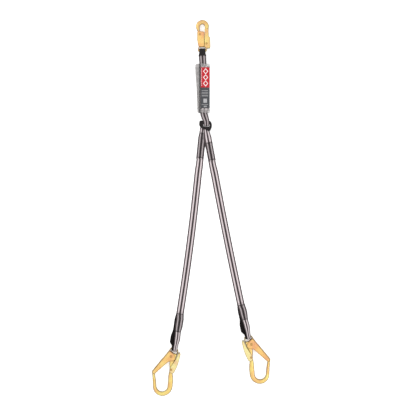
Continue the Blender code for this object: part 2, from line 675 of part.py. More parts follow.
def build_bottom_loop():
    """Webbing loop below the pack and the black band that the legs are hitched with."""
    centre = straight_plan(*BOTTOM_LOOP_X, PACK_HALF_LENGTH, BOTTOM_BIGHT[0] - 4.0)

    def width(distance):
        return WEB_WIDTH - (WEB_WIDTH - 20.0) * float(
            smooth_step(distance, PACK_HALF_LENGTH + 4.0, BOTTOM_BIGHT[0] - 6.0))

    loop = eye_loop(BOTTOM_BIGHT, BOTTOM_BIGHT_R, BOTTOM_BIGHT[0] - PACK_HALF_LENGTH + 4.0,
                    *TAIL_Z, count=8)
    lower = [(s, TAIL_Z[0]) for s in np.linspace(TAIL_END, 80.0, 3)]
    upper = [(s, TAIL_Z[1]) for s in np.linspace(80.0, TAIL_END, 3)]
    web_piece("bottom_loop_webbing", lower + loop + upper, centre, width, WEBBING)

    outside = [(-16.0, -130.0), (3.0, -126.5), (20.0, -129.0), (27.5, -140.0), (28.5, -156.0),
               (23.0, -167.0), (9.0, -166.0), (-8.0, -162.0), (-18.5, -150.0), (-20.0, -138.0)]
    opening = [(-3.5, -140.5), (8.0, -139.8), (19.5, -140.5), (21.5, -146.0),
               (19.5, -152.5), (8.0, -152.5), (-3.5, -151.5), (-5.5, -146.0)]
    half = (BAND_Z[1] - BAND_Z[0]) / 2.0
    mesh = plate("hitch_band_outline", [outside, opening], [], half, 1.0)
    mesh.transform(Matrix.Translation((0.0, 0.0, sum(BAND_Z) / 2.0 * MM)))
    band = mesh_object("hitch_wear_band", mesh, PARTS)
    mesh.materials.append(BLACK_WEB)
    return band


def build_absorber():
    """Two folded tear webs, the label card over them and the clear sleeve round them."""
    turn = TEAR_STEP / 2.0
    reach = TEAR_HALF_LENGTH - turn
    for name, first, step in (("absorber_tear_web_lower", TEAR_LOW_Z, TEAR_STEP),
                              ("absorber_tear_web_upper", TEAR_HIGH_Z, -TEAR_STEP)):
        path = []
        for layer in range(3):
            way = 1.0 if layer % 2 == 0 else -1.0
            height = first + layer * step
            path += [(-way * reach, height), (0.0, height), (way * reach, height)]
            if layer < 2:
                path += [(way * (reach + turn * math.sin(a)),
                          height + step / 2.0 * (1.0 - math.cos(a)))
                         for a in np.radians([36, 72, 108, 144])]
        web_piece(name, path, straight_plan(0.0, 0.0, 0.0, 1.0), lambda s: TEAR_WIDTH,
                  TEAR_WEB, TEAR_THICK)

    card = plate("label_outline", [], [slot_loop(*LABEL_X, *LABEL_Y, 2.5)], LABEL_HALF, 0.0,
                 ring=0)
    card.transform(Matrix.Translation((0.0, 0.0, LABEL_Z * MM)))
    label = mesh_object("absorber_label_card", card, PARTS)
    card.materials.append(LABEL_RED)
    cover_tube()
    return label


def cover_tube():
    """A clear tube with a flat spare edge along its left side, open at both ends."""
    corner = COVER_CORNER
    half_w = PACK_HALF_WIDTH
    rows = []
    end = PACK_HALF_LENGTH
    for y, squeeze, fin in ((end, 3.0, 11.5), (end - 8.0, 0.0, 15.0), (60.0, 0.0, 13.8),
                            (6.0, 0.0, 9.8), (-60.0, 0.0, 7.0), (8.0 - end, 0.0, 6.2),
                            (-end, 3.0, 5.0)):
        low = squeeze
        high = PACK_HEIGHT - squeeze
        mid = PACK_HEIGHT / 2.0
        body = (arc((-half_w + corner, high - corner), corner, 180, 90, 4)
                + arc((half_w - corner, high - corner), corner, 90, 0, 4)
                + arc((half_w - corner, low + corner), corner, 0, -90, 4)
                + arc((-half_w + corner, low + corner), corner, -90, -180, 4))
        tip = -half_w - fin
        fin_top = [(tip, mid), (tip + 1.2, mid + FIN_HALF), (-half_w - 2.5, mid + FIN_HALF),
                   (-half_w, mid + FIN_HALF + 2.0)]
        fin_low = [(-half_w, mid - FIN_HALF - 2.0), (-half_w - 2.5, mid - FIN_HALF),
                   (tip + 1.2, mid - FIN_HALF)]
        rows.append([(x, y, z) for x, z in fin_top + body + fin_low])
    columns = len(rows[0])
    shape = bmesh.new()
    bmesh.ops.create_grid(shape, x_segments=columns, y_segments=len(rows) - 1, size=0.5)
    order = sorted(shape.verts, key=lambda v: (round(v.co.y, 6), v.co.x))
    for index, vert in enumerate(order):
        row, column = divmod(index, columns + 1)
        vert.co = Vector(rows[row][column % columns]) * MM
    bmesh.ops.remove_doubles(shape, verts=shape.verts, dist=1e-6)
    bmesh.ops.recalc_face_normals(shape, faces=shape.faces)
    mesh = bpy.data.meshes.new("absorber_cover")
    shape.to_mesh(mesh)
    shape.free()
    mesh.materials.append(CLEAR_SLEEVE)
    item = mesh_object("absorber_cover", mesh, PARTS)
    wall = item.modifiers.new("wall", "SOLIDIFY")
    wall.thickness = COVER_WALL * MM
    wall.offset = -1.0
    wall.use_even_offset = True
    return item


clear_scene()
PARTS = new_collection("twin_shock_absorbing_lanyard")
CUTTERS = new_collection("cutters")
FORGED = finish_of("plated_forging", (0.83, 0.58, 0.20), 0.32, 0.9)
PLATED_SHEET = finish_of("plated_sheet", (0.88, 0.62, 0.24), 0.28, 0.9)
RIVET_STEEL = finish_of("rivet_steel", (0.78, 0.60, 0.30), 0.35, 0.9)
SPRING_STEEL = finish_of("spring_steel", (0.45, 0.45, 0.47), 0.35, 1.0)
WEBBING = finish_of("striped_webbing", (0.42, 0.38, 0.39), 0.85, 0.0)
BLACK_WEB = finish_of("black_webbing", (0.03, 0.025, 0.03), 0.85, 0.0)
TEAR_WEB = finish_of("tear_webbing", (0.36, 0.33, 0.33), 0.85, 0.0)
LABEL_RED = finish_of("label_card", (0.60, 0.03, 0.05), 0.45, 0.0)
CLEAR_SLEEVE = finish_of("clear_sleeve", (0.86, 0.86, 0.85), 0.2, 0.0, 0.3)
build_scaffold_hooks()
build_snap_hook()
build_absorber()
build_top_loop()
build_bottom_loop()
build_legs()
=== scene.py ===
import json
import math

import bmesh
import bpy
import numpy as np
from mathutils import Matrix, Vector

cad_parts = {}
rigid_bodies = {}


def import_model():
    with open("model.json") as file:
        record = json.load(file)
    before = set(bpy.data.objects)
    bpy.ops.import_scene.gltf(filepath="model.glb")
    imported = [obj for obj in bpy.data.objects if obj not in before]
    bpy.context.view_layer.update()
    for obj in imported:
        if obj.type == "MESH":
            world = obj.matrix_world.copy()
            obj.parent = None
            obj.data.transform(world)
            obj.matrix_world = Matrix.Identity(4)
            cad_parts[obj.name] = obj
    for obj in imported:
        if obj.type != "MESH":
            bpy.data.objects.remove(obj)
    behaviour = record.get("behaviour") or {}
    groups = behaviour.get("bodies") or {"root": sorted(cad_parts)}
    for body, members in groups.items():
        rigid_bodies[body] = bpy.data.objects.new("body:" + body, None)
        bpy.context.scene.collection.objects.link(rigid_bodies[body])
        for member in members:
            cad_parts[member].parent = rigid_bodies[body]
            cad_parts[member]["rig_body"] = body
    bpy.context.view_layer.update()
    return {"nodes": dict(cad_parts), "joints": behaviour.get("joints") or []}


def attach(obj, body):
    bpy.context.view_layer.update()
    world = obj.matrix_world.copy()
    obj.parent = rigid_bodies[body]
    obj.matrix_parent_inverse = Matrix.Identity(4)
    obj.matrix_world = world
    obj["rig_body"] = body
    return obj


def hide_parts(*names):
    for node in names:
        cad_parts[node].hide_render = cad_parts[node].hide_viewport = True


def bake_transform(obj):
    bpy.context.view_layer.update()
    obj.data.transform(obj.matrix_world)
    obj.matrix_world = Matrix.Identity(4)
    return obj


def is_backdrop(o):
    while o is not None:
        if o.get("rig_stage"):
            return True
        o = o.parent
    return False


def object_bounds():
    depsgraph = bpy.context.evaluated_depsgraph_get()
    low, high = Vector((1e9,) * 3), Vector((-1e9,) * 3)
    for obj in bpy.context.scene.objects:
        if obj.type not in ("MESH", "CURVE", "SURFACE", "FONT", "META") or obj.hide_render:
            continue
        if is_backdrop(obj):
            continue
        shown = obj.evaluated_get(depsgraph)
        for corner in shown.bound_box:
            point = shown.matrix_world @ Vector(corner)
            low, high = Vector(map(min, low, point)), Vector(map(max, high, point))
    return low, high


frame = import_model()


# Studio: the lanyard lies flat on a pale table and is seen from straight above, with the
# snap hook at the top. The light is a white room with two large soft panels.
def linear(red, green, blue):
    """Screen colour, 0 to 255 a channel, as the linear colour that a shader takes."""
    share = np.array([red, green, blue]) / 255.0
    value = np.where(share <= 0.04045, share / 12.92, ((share + 0.055) / 1.055) ** 2.4)
    return (*value.tolist(), 1.0)


def in_scene(name, data):
    """A new object with this mesh, lamp or camera, linked into the scene."""
    made = bpy.data.objects.new(name, data)
    bpy.context.scene.collection.objects.link(made)
    return made


def feed(socket, value):
    """Links another node's output to a socket, or sets the socket to a plain value."""
    if isinstance(value, bpy.types.NodeSocket):
        socket.id_data.links.new(value, socket)
    else:
        socket.default_value = value


def set_inputs(node, **inputs):
    """Feeds a node's inputs by name, with _ for a space."""
    for name, value in inputs.items():
        feed(node.inputs[name.replace("_", " ")], value)
    return node


def add_node(tree, kind, **inputs):
    """A new shader node of a kind, with these inputs."""
    return set_inputs(tree.nodes.new("ShaderNode" + kind), **inputs)


def axes_of(vector):
    """The X, Y and Z parts of a vector."""
    return add_node(vector.id_data, "SeparateXYZ", Vector=vector).outputs


def colour_ramp(value, stops):
    """The colour at a value between stops, which are (value, linear colour) pairs."""
    node = add_node(value.id_data, "ValToRGB", Fac=value)
    points = node.color_ramp.elements
    for number, (place, colour) in enumerate(stops):
        point = points[number] if number < 2 else points.new(place)
        point.position = place
        point.color = colour
    return node.outputs["Color"]


def object_place(tree):
    """Where a point is on the object, in metres."""
    return add_node(tree, "TexCoord").outputs["Object"]


def noise(place, scale, detail=2.0):
    """Soft noise from 0 to 1, with scale as its patches in a metre."""
    return add_node(place.id_data, "TexNoise", Vector=place, Scale=scale,
                    Detail=detail).outputs["Fac"]


def plain_material(name):
    """A new material with its node tree and its Principled shader."""
    material = bpy.data.materials.new(name)
    material.use_nodes = True
    tree = material.node_tree
    return material, tree, tree.nodes["Principled BSDF"]


camera_data = bpy.data.cameras.new("camera")
camera_data.lens = 100.0
camera_data.sensor_width = 36.0
camera = in_scene("camera", camera_data)
camera.location = (0.0139, -0.4732, 4.585)
bpy.context.scene.camera = camera
bpy.context.scene.view_settings.view_transform = "Standard"

world = bpy.data.worlds.new("white_room")
world.use_nodes = True
room = world.node_tree
room_height = axes_of(add_node(room, "TexCoord").outputs["Generated"])["Z"]
set_inputs(room.nodes["Background"], Strength=1.3, Color=colour_ramp(
    room_height, [(0.05, (0.27, 0.26, 0.25, 1.0)), (0.80, (1.0, 1.0, 1.0, 1.0))]))
bpy.context.scene.world = world

for panel_name, place, size, power in (("panel_left", (-1.9, 0.9, 2.6), 1.6, 26.0),
                                       ("panel_right", (2.1, -1.6, 2.8), 2.0, 14.0)):
    panel_data = bpy.data.lights.new(panel_name, "AREA")
    panel_data.shape = "SQUARE"
    panel_data.size = size
    panel_data.energy = power
    panel = in_scene(panel_name, panel_data)
    panel.location = place
    aim = np.array([0.0, -0.45, 0.0]) - np.array(place)
    panel.rotation_euler = (math.acos(-aim[2] / np.linalg.norm(aim)), 0.0,
                            math.atan2(aim[1], aim[0]) - math.pi / 2.0)

table_material, table_tree, table_shader = plain_material("pale_table")
table_tone = colour_ramp(noise(object_place(table_tree), 3.0),
                         [(0.0, (0.93, 0.93, 0.93, 1.0)), (1.0, (0.96, 0.96, 0.96, 1.0))])
set_inputs(table_shader, Base_Color=table_tone, Roughness=0.9,
           Emission_Color=(1.0, 1.0, 1.0, 1.0), Emission_Strength=0.38)
TABLE_TOP = -0.0003
table_mesh = bpy.data.meshes.new("table")
table_mesh.from_pydata([(x, y, TABLE_TOP) for x, y in ((-6, -6.5), (6, -6.5), (6, 5.5), (-6, 5.5))],
                       [], [(0, 1, 2, 3)])
table_mesh.materials.append(table_material)
table = in_scene("table", table_mesh)
table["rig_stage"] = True


# Leg webbing: each leg is one strap of woven polyester, pale pinkish grey with dark edges
# and a dark centre stripe. It is folded over and sewn at both ends, and its lower end is a
# loop through the hook's eye. Measures are in millimetres, as in the sections below.
MM = 0.001
WEB_WIDTH = 28.0
LEG_WIDTH = 30.0
HITCH_WEB_WIDTH = 22.0
NECK_NARROWING = 8.0
EYE_NARROWING = 6.0
WEB_THICK = 2.5
LINING_THICK = 1.2
CLEARANCE = 0.3
PLY_STEP = 2.8
LOW = WEB_THICK / 2.0
HIGH = LOW + WEB_THICK + LINING_THICK + 2.0 * CLEARANCE
LEG_LOOP_R = 6.9 + 0.8 + LINING_THICK + CLEARANCE + WEB_THICK / 2.0
SEWN_END = 50.0
SEWN_GAP = 12.0
ROUTE_AT_EYE = 14.0
BACK_POINTS = 22
LINING_SHORT = 22


def unit(vectors):
    """The same directions with length 1."""
    return vectors / np.linalg.norm(vectors, axis=-1, keepdims=True)


def length_along(points):
    """The length of a line from its start to each of its points."""
    steps = np.linalg.norm(np.diff(points, axis=0), axis=1)
    return np.concatenate([[0.0], np.cumsum(steps)])


def ease(value, start, end):
    """0 before start, 1 after end, and 3t^2 - 2t^3 between them."""
    share = np.clip((np.asarray(value, float) - start) / (end - start), 0.0, 1.0)
    return share * share * (3.0 - 2.0 * share)


def cubic(start, start_way, end, end_way, pull, count=26):
    """Cubic through two points with the given directions there, scaled by pull."""
    t = np.linspace(0.0, 1.0, count)[:, None]
    share = ease(t, 0.0, 1.0)
    return ((1.0 - share) * start + share * end
            + pull * ((t ** 3 - 2 * t ** 2 + t) * start_way + (t ** 3 - t ** 2) * end_way))


def eye_loop(bar, radius, reach, low, high):
    """Side view of a strap's loop: a cubic in, a half circle about the bar, a cubic back."""
    distance, height = bar
    under = cubic((distance - reach, low), (1.0, -0.05), (distance, height - radius),
                  (1.0, 0.0), reach * 0.75)
    angle = np.radians(np.linspace(10.0, 170.0, 17))
    turn = np.stack([distance + radius * np.sin(angle), height - radius * np.cos(angle)], 1)
    over = cubic((distance, height + radius), (-1.0, 0.0), (distance - reach, high),
                 (-1.0, -0.1), reach * 0.75)
    return np.concatenate([under, turn, over])


def level_run(start, end, height, count=40):
    """Side view of a straight stretch: even steps from start to end at one height."""
    return np.stack([np.linspace(start, end, count), np.full(count, height)], 1)


def strap_line(path, centre, width, lean):
    """Frames along a strap. path is its side view (distance, height); centre gives the plan
    position at a distance, width the width there, and lean how far a ply stands aside."""
    along = path[:, 0]
    middle = centre(along)
    forward = unit(centre(along + 1.0) - middle)
    side = np.stack([-forward[:, 1], forward[:, 0], np.zeros(len(along))], 1)
    spot = np.stack([middle[:, 0], middle[:, 1], path[:, 1]], 1) + side * lean(path)[:, None]
    tangent = unit(np.gradient(spot, axis=0))
    return {"spot": spot, "tangent": tangent, "side": side, "outward": -np.cross(tangent, side),
            "length": length_along(spot), "half": width(along) / 2.0}


def ring_faces(rings, around, closed=False):
    """Quads between rings of points, as index arrays."""
    ring = np.arange(rings if closed else rings - 1)[:, None]
    step = np.arange(around)[None, :]
    after = (ring + 1) % rings
    ahead = (step + 1) % around
    return np.stack([ring * around + step, ring * around + ahead, after * around + ahead,
                     after * around + step], -1).reshape(-1, 4)


def finished(name, mesh, material, angle):
    """The object of a mesh in its material, shaded smooth up to an angle."""
    mesh.shade_smooth()
    mesh.set_sharp_from_angle(angle=math.radians(angle))
    mesh.materials.append(material)
    return in_scene(name, mesh)


def mesh_piece(name, points, faces, material, body, woven=None, angle=60.0):
    """An object at the origin from points in millimetres, riding on a body. Its normals are
    turned outwards, and woven is the attribute that the cloth materials read."""
    mesh = bpy.data.meshes.new(name)
    mesh.from_pydata((np.reshape(points, (-1, 3)) * MM).tolist(), [], [list(f) for f in faces])
    shape = bmesh.new()
    shape.from_mesh(mesh)
    bmesh.ops.recalc_face_normals(shape, faces=shape.faces)
    shape.to_mesh(mesh)
    shape.free()
    if woven is not None:
        layer = mesh.attributes.new("strap", "FLOAT_VECTOR", "POINT")
        layer.data.foreach_set("vector", np.asarray(woven, np.float32).ravel())
    piece = finished(name, mesh, material, angle)
    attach(piece, body)
    return piece


ACROSS = np.array([-1.0, -0.97, -0.88, -0.66, -0.4, -0.13, 0.13, 0.4, 0.66, 0.88, 0.97, 1.0])
SEAM_EDGE = 1.5


def strap_section(thick):
    """Section of a strap: across from -1 to 1 on top and back below, height +-thick/2 times
    the square root of 1 - across^12, so the edges are round."""
    rise = thick / 2.0 * np.sqrt(np.clip(1.0 - ACROSS ** 12, 0.0, 1.0))
    across = np.concatenate([ACROSS, ACROSS[-2:0:-1]])
    return across, np.concatenate([rise, -rise[-2:0:-1]])


def carried(line, across, height, extra=0.0):
    """A section carried along a line: spot + side * across * (half width + extra) +
    outward * height."""
    half = line["half"][:, None] + extra
    return (line["spot"][:, None, :] + line["side"][:, None, :] * (across * half)[:, :, None]
            + line["outward"][:, None, :] * height[None, :, None])


def woven_places(across, length, sewn):
    """What cloth needs at each point: across from -1 to 1, metres along, 1 where sewn."""
    return np.stack(np.broadcast_arrays(across, length * MM, sewn), -1)


def strap_piece(name, line, thick, material, body, sewn=()):
    """A strap: its section carried along the line and closed at both ends. sewn lists
    (start, end) lengths where the cloth is darker: under the close stitching of the legs, and
    all along each of the pack's loops."""
    across, height = strap_section(thick)
    count = len(line["spot"])
    around = len(across)
    length = line["length"][:, None]
    faces = [*ring_faces(count, around), range(around), range((count - 1) * around, count * around)]
    dense = sum([ease(length, start - SEAM_EDGE, start + SEAM_EDGE)
                 * (1.0 - ease(length, end - SEAM_EDGE, end + SEAM_EDGE))
                 for start, end in sewn], 0.0)
    return mesh_piece(name, carried(line, across, height), faces, material, body,
                      woven_places(across, length, dense))


def new_group(name, inputs, outputs):
    """A shader node group, its inputs with these values and its outputs of these kinds.
    Returns it with what its input node puts out and its output node."""
    group = bpy.data.node_groups.new(name, "ShaderNodeTree")
    for socket, value in inputs.items():
        made = group.interface.new_socket(socket, in_out="INPUT", socket_type="NodeSocketFloat")
        made.default_value = value
    for socket, kind in outputs.items():
        group.interface.new_socket(socket, in_out="OUTPUT", socket_type="NodeSocket" + kind)
    return group, group.nodes.new("NodeGroupInput").outputs, group.nodes.new("NodeGroupOutput")


def tree_of(*values):
    """The node tree of the first value that is a node's output."""
    return next(value.id_data for value in values if isinstance(value, bpy.types.NodeSocket))


def calc(operation, *values):
    """A Math node's result. A value is a number or another node's output."""
    node = add_node(tree_of(*values), "Math")
    node.operation = operation
    for socket, value in zip(node.inputs, values):
        feed(socket, value)
    return node.outputs[0]


def times(first, second):
    """first * second."""
    return calc("MULTIPLY", first, second)


def scaled(value, factor, offset):
    """value * factor + offset."""
    return calc("MULTIPLY_ADD", value, factor, offset)


def mixed(under, over, share=1.0, blend="MIX"):
    """One colour over another by a share, or by MULTIPLY both multiplied."""
    mix = add_node(tree_of(under, share), "Mix")
    mix.data_type = "RGBA"
    mix.blend_type = blend
    return set_inputs(mix, Factor=share, A=under, B=over).outputs["Result"]


def bumped(height, strength, distance):
    """The normal of a surface that a height from 0 to 1 raises by distance, in metres."""
    return add_node(height.id_data, "Bump", Height=height, Strength=strength,
                    Distance=distance).outputs["Normal"]


def attribute(tree, name):
    """What a mesh's own attribute says at each point."""
    node = add_node(tree, "Attribute")
    node.attribute_name = name
    return node.outputs


# Weave: warp cords side by side across the strap, each crossed by weft at half a pitch
# from its neighbour. The height is |sin| of the cord times a sine along it.
weave, weave_in, weave_out = new_group("woven_cords", {"Width": 0.028, "Cord": 0.0012, "Weft": 0.0016},
                                       {"Height": "Float", "Fuzz": "Float"})
weave_across, weave_along = axes_of(attribute(weave, "strap")["Vector"])[:2]
weave_cord = calc("DIVIDE", times(weave_across, times(weave_in["Width"], 0.5)), weave_in["Cord"])
weave_ridge = calc("ABSOLUTE", calc("SINE", times(weave_cord, math.pi)))
weave_phase = times(calc("FLOOR", weave_cord), math.pi)
weave_turns = times(calc("DIVIDE", weave_along, weave_in["Weft"]), 2.0 * math.pi)
weave_cross = calc("SINE", calc("ADD", weave_phase, weave_turns))
set_inputs(weave_out, Height=times(weave_ridge, scaled(weave_cross, 0.3, 0.7)),
           Fuzz=noise(object_place(weave), 900.0))


def webbing_material(name, stops, width=WEB_WIDTH, roughness=0.78, depth=0.55, sheen=0.2, gloss=0.3):
    """Woven cloth with stripes. stops are (share of the half width, colour) from the middle
    outwards. Painted shade between the weave's cords, soil, fuzz and the darkening of the
    sewn zones each multiply the colour."""
    material, tree, shader = plain_material(name)
    place = axes_of(attribute(tree, "strap")["Vector"])
    cloth = add_node(tree, "Group")
    cloth.node_tree = weave
    cloth.inputs["Width"].default_value = width * MM
    stripes = colour_ramp(calc("ABSOLUTE", place["X"]), [(at, linear(*tone)) for at, tone in stops])
    # Painted shade: the weave's height darkens the colour between its cords.
    shade = times(scaled(cloth.outputs["Height"], 0.5, 0.66),
                  scaled(noise(object_place(tree), 17.0, 6.0), 0.28, 0.86))
    shade = times(shade, scaled(cloth.outputs["Fuzz"], 0.24, 0.88))
    shade = times(shade, scaled(place["Z"], -0.40, 1.0))
    set_inputs(shader, Base_Color=mixed(stripes, shade, blend="MULTIPLY"), Roughness=roughness,
               Sheen_Weight=sheen, Specular_IOR_Level=gloss,
               Normal=bumped(cloth.outputs["Height"], depth, 0.0004))
    return material


striped = webbing_material("striped_webbing", [
    (0.0, (44, 35, 37)), (0.19, (52, 42, 44)), (0.25, (192, 179, 182)),
    (0.31, (168, 153, 157)), (0.37, (222, 211, 213)), (0.58, (226, 215, 217)),
    (0.65, (132, 118, 121)), (0.72, (86, 75, 77)), (1.0, (66, 57, 59))])
thread_material = webbing_material("sewing_thread", [
    (0.0, (62, 50, 51)), (1.0, (48, 38, 39))], 3.0, 0.6, 0.3, 0.1)
lining_cloth = webbing_material("lining_webbing", [
    (0.0, (24, 20, 21)), (0.7, (27, 23, 24)), (0.85, (20, 17, 18)), (1.0, (18, 15, 16))],
    WEB_WIDTH, 0.9, 0.8, 0.0, 0.06)

# Each leg: its side and two ends; how high it lies at the hitch, and its curve sideways; where
# the fold ends and the loop's seam starts; where it comes down to the table; how far the long
# ply shows beside the fold, and how much of the fold isn't sewn.
LEGS = (("left", (-8.0, -167.0), (-119.0, -1030.0, 15.8), 0.0, 8.5,
         (112.0, 726.0), (230.0, 420.0), 3.4, 8.0),
        ("right", (8.5, -168.0), (171.5, -982.0, 15.8), 5.6, -4.0,
         (121.0, 698.0), (130.0, 330.0), -3.4, 46.0))

STITCH_SHARE = 0.40
THREAD_R = 0.42
THREAD_RISE = 0.06
STITCH_LONG = np.array([-1.0, -0.75, 0.75, 1.0])
STITCH_WIDE = np.array([0.3, 1.0, 1.0, 0.3]) * THREAD_R
STITCH_LIFT = np.array([-0.3, 0.1, 0.1, -0.3])
STITCH_SIDES = 6
STITCH_POINTS = 4 * STITCH_SIDES


def stitches(name, line, runs, material, body):
    """Sewn thread on a strap. Each run is its start and end, both (length, across), and its
    pitch; a stitch is a six-sided capsule that dips into the web at its ends."""
    parts = []
    for start, end, pitch in runs:
        way = np.subtract(end, start)
        number = max(int(math.hypot(way[0], way[1] * WEB_WIDTH / 2.0) / pitch), 1)
        share = (np.arange(number) + 0.5)[:, None] / number
        parts.append(np.hstack([start + way * share, np.tile(way / number * STITCH_SHARE, (number, 1))]))
    spots = np.concatenate(parts)
    spot, tangent, side, outward = [
        np.stack([np.interp(spots[:, 0], line["length"], line[key][:, k]) for k in range(3)], 1)
        for key in ("spot", "tangent", "side", "outward")]
    half = np.interp(spots[:, 0], line["length"], line["half"])
    base = spot + side * (spots[:, 1] * half)[:, None] + outward * (WEB_THICK / 2.0 + THREAD_RISE)
    way = tangent * spots[:, 2:3] + side * (spots[:, 3] * half)[:, None]
    cross = unit(np.cross(outward, way))
    turn = np.arange(STITCH_SIDES) * 2.0 * math.pi / STITCH_SIDES
    rise = STITCH_LIFT[:, None] + STITCH_WIDE[:, None] * np.sin(turn)
    points = (base[:, None, None, :] + way[:, None, None, :] * STITCH_LONG[None, :, None, None]
              + cross[:, None, None, :] * (STITCH_WIDE[:, None] * np.cos(turn))[None, :, :, None]
              + outward[:, None, None, :] * rise[None, :, :, None])
    first = STITCH_POINTS * np.arange(len(spots))[:, None]
    walls = (ring_faces(4, STITCH_SIDES)[None] + first[:, :, None]).reshape(-1, 4)
    cap = first + np.arange(STITCH_SIDES)
    return mesh_piece(name, points, [*walls, *cap, *(cap + STITCH_POINTS - STITCH_SIDES)], material,
                      body, woven_places(0.0, np.repeat(spots[:, 0], STITCH_POINTS), 1.0), 80.0)


SEAM_ROWS = (-1.0, -0.42, -0.28, -0.14, 0.0, 0.14, 0.28, 0.42, 1.0)
SEAM_REACH = 0.8
BAR_REACH = 0.88
ROW_PITCH = 3.4
BAR_PITCH = 1.25
BAR_STEP = 1.7


def sewn_pattern(start, end):
    """Runs of a sewn zone: lengthways rows, and three close bars across each end."""
    rows = [((start, across * SEAM_REACH), (end, across * SEAM_REACH), ROW_PITCH)
            for across in SEAM_ROWS]
    return rows + [((at, -BAR_REACH), (at + 0.01, BAR_REACH), BAR_PITCH)
                   for at in (start, start + BAR_STEP, start + 2.0 * BAR_STEP,
                              end - 2.0 * BAR_STEP, end - BAR_STEP, end)]


FOLD_TOP = -11.0
LINING_EYE_WIDTH = 20.0
PLY_SPREAD = (3.0, 2.0)
PLY_AT_EYE = 3.8
LINING_SPREAD = (-3.5, -5.0)
LINING_AT_EYE = -1.8

for side, top, eye, lift, bow, (fold_end, seam), settle, inward, unsewn in LEGS:
    body = side + "_leg"
    ahead = np.subtract(eye[:2], top)
    length = float(np.linalg.norm(ahead))
    ahead /= length
    aside = np.array([-ahead[1], ahead[0]])

    def centre(distance):
        """Plan position: straight from the hitch to the eye, plus bow times the sine of half
        a turn over that length."""
        swing = bow * np.sin(math.pi * np.clip(distance / length, 0.0, 1.0))
        return top + ahead * distance[:, None] + aside * swing[:, None]

    def leg_width(distance):
        """HITCH_WEB_WIDTH at the hitch, WEB_WIDTH in the fold and LEG_WIDTH below it, less
        the two narrowings near the eye, with smooth steps between."""
        return (HITCH_WEB_WIDTH + (WEB_WIDTH - HITCH_WEB_WIDTH) * ease(distance, 0, 30)
                + (LEG_WIDTH - WEB_WIDTH) * ease(distance, fold_end + 5, fold_end + 45)
                - NECK_NARROWING * ease(distance, length - 95, length - 55)
                - EYE_NARROWING * ease(distance, length - 40, length - 13))

    def loop_spread(along, first, more):
        """first from the loop's seam on, and more added near the eye, in smooth steps."""
        return (first * ease(along, seam, seam + 30.0)
                + more * ease(along, length - 75.0, length - 45.0))

    def leg_lean(path):
        """The loop's plies spread apart, the lower to the left and the upper to the right,
        and gather at the eye. The long ply lies inward beside the fold."""
        along, height = path.T
        gather = ease(along, length - 30.0, length - 8.0)
        apart = loop_spread(along, *PLY_SPREAD) * (2.0 * ease(height, LOW + 1.2, HIGH - 1.2) - 1.0)
        under = 1.0 - ease(height, lift + LOW + 0.5, lift + LOW + PLY_STEP - 0.5)
        beside = inward * under * ease(along, -4.0, 30.0) * (
            1.0 - 0.6 * ease(along, 45.0, 75.0)) * (
            1.0 - ease(along, fold_end + 10.0, fold_end + 60.0))
        return apart * (1.0 - gather) + PLY_AT_EYE * gather + beside

    def lining_width(distance):
        """WEB_WIDTH, and LINING_EYE_WIDTH in the eye."""
        return WEB_WIDTH - (WEB_WIDTH - LINING_EYE_WIDTH) * ease(
            distance, length - 26, length - 7)

    def lining_lean(path):
        """The lining spreads to the left of the plies and gathers at the eye."""
        gather = ease(path[:, 0], length - 24.0, length - 7.0)
        return loop_spread(path[:, 0], *LINING_SPREAD) * (1.0 - gather) + LINING_AT_EYE * gather

    def ply_height(along):
        """LOW above the table, and lift more at the hitch, coming down over settle."""
        return LOW + lift * (1.0 - ease(along, *settle))

    turn = PLY_STEP / 2.0
    fold_start = FOLD_TOP + turn
    upper = level_run(fold_end, fold_start, lift + LOW + PLY_STEP, 30)
    angle = np.radians(np.linspace(15, 165, 8))
    fold = np.stack([fold_start - turn * np.sin(angle),
                     lift + LOW + turn + turn * np.cos(angle)], 1)
    run_s = np.linspace(fold_start, length - SEWN_END - SEWN_GAP, 220)
    run = np.stack([run_s, ply_height(run_s)], 1)
    loop = eye_loop((length, eye[2]), LEG_LOOP_R, SEWN_END, LOW, HIGH)
    back = level_run(length - SEWN_END - SEWN_GAP, seam, HIGH, BACK_POINTS)
    line = strap_line(np.concatenate([upper, fold, run, loop, back]), centre, leg_width, leg_lean)
    last = line["length"][-BACK_POINTS]
    total = line["length"][-1]
    fold_seam = fold_end - unsewn
    strap = strap_piece(side + "_leg_strap", line, WEB_THICK, striped, body,
                        [(3.0, fold_seam + 1.0), (last + 4.0, total - 3.0)])
    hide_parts(side + "_leg_webbing")
    seams = stitches(side + "_leg_seams", line, sewn_pattern(4.0, fold_seam)
                     + sewn_pattern(last + 5.0, total - 4.0), thread_material, body)
    way_s = np.linspace(-8.0, length + 5.0, 32)
    way_z = ply_height(way_s) + (ROUTE_AT_EYE - LOW) * ease(way_s, length - 50.0, length - 8.0)
    way = np.column_stack([centre(way_s), way_z]) * MM

    # Loop lining: black webbing sewn inside the lower loop, where the hook's eye bears. It
    # shows along the left edge, because the front ply lies a little to the right.
    middle = LOW + WEB_THICK / 2.0 + CLEARANCE + LINING_THICK / 2.0
    tangent = unit(np.gradient(loop, axis=0))
    inner = loop + np.stack([-tangent[:, 1], tangent[:, 0]], 1) * (middle - LOW)
    lead = level_run(seam + 1.0, length - SEWN_END - 2.0, middle, 22)
    lining_line = strap_line(np.concatenate([lead, inner[1:-LINING_SHORT]]), centre, lining_width,
                             lining_lean)
    lining = strap_piece(side + "_loop_lining", lining_line, LINING_THICK, lining_cloth, body)
    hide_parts(side + "_leg_loop_lining")


# Top loop: the pack's own webbing goes through the snap hook's eye, and a black woven
# sleeve covers it where it bears on the steel. Its tails end between the tear webs.
SNAP_EYE = (147.3, 11.0)
SNAP_EYE_WEB_WIDTH = 22.6
SLEEVE_THICK = 0.8
PACK_HALF_LENGTH = 97.0
TAIL_START = 20.0
TAIL_END = 92.0
TAIL_Z = (13.1, 15.9)
TOP_LOOP_R = 5.7 + 0.8 + SLEEVE_THICK + CLEARANCE + WEB_THICK / 2.0


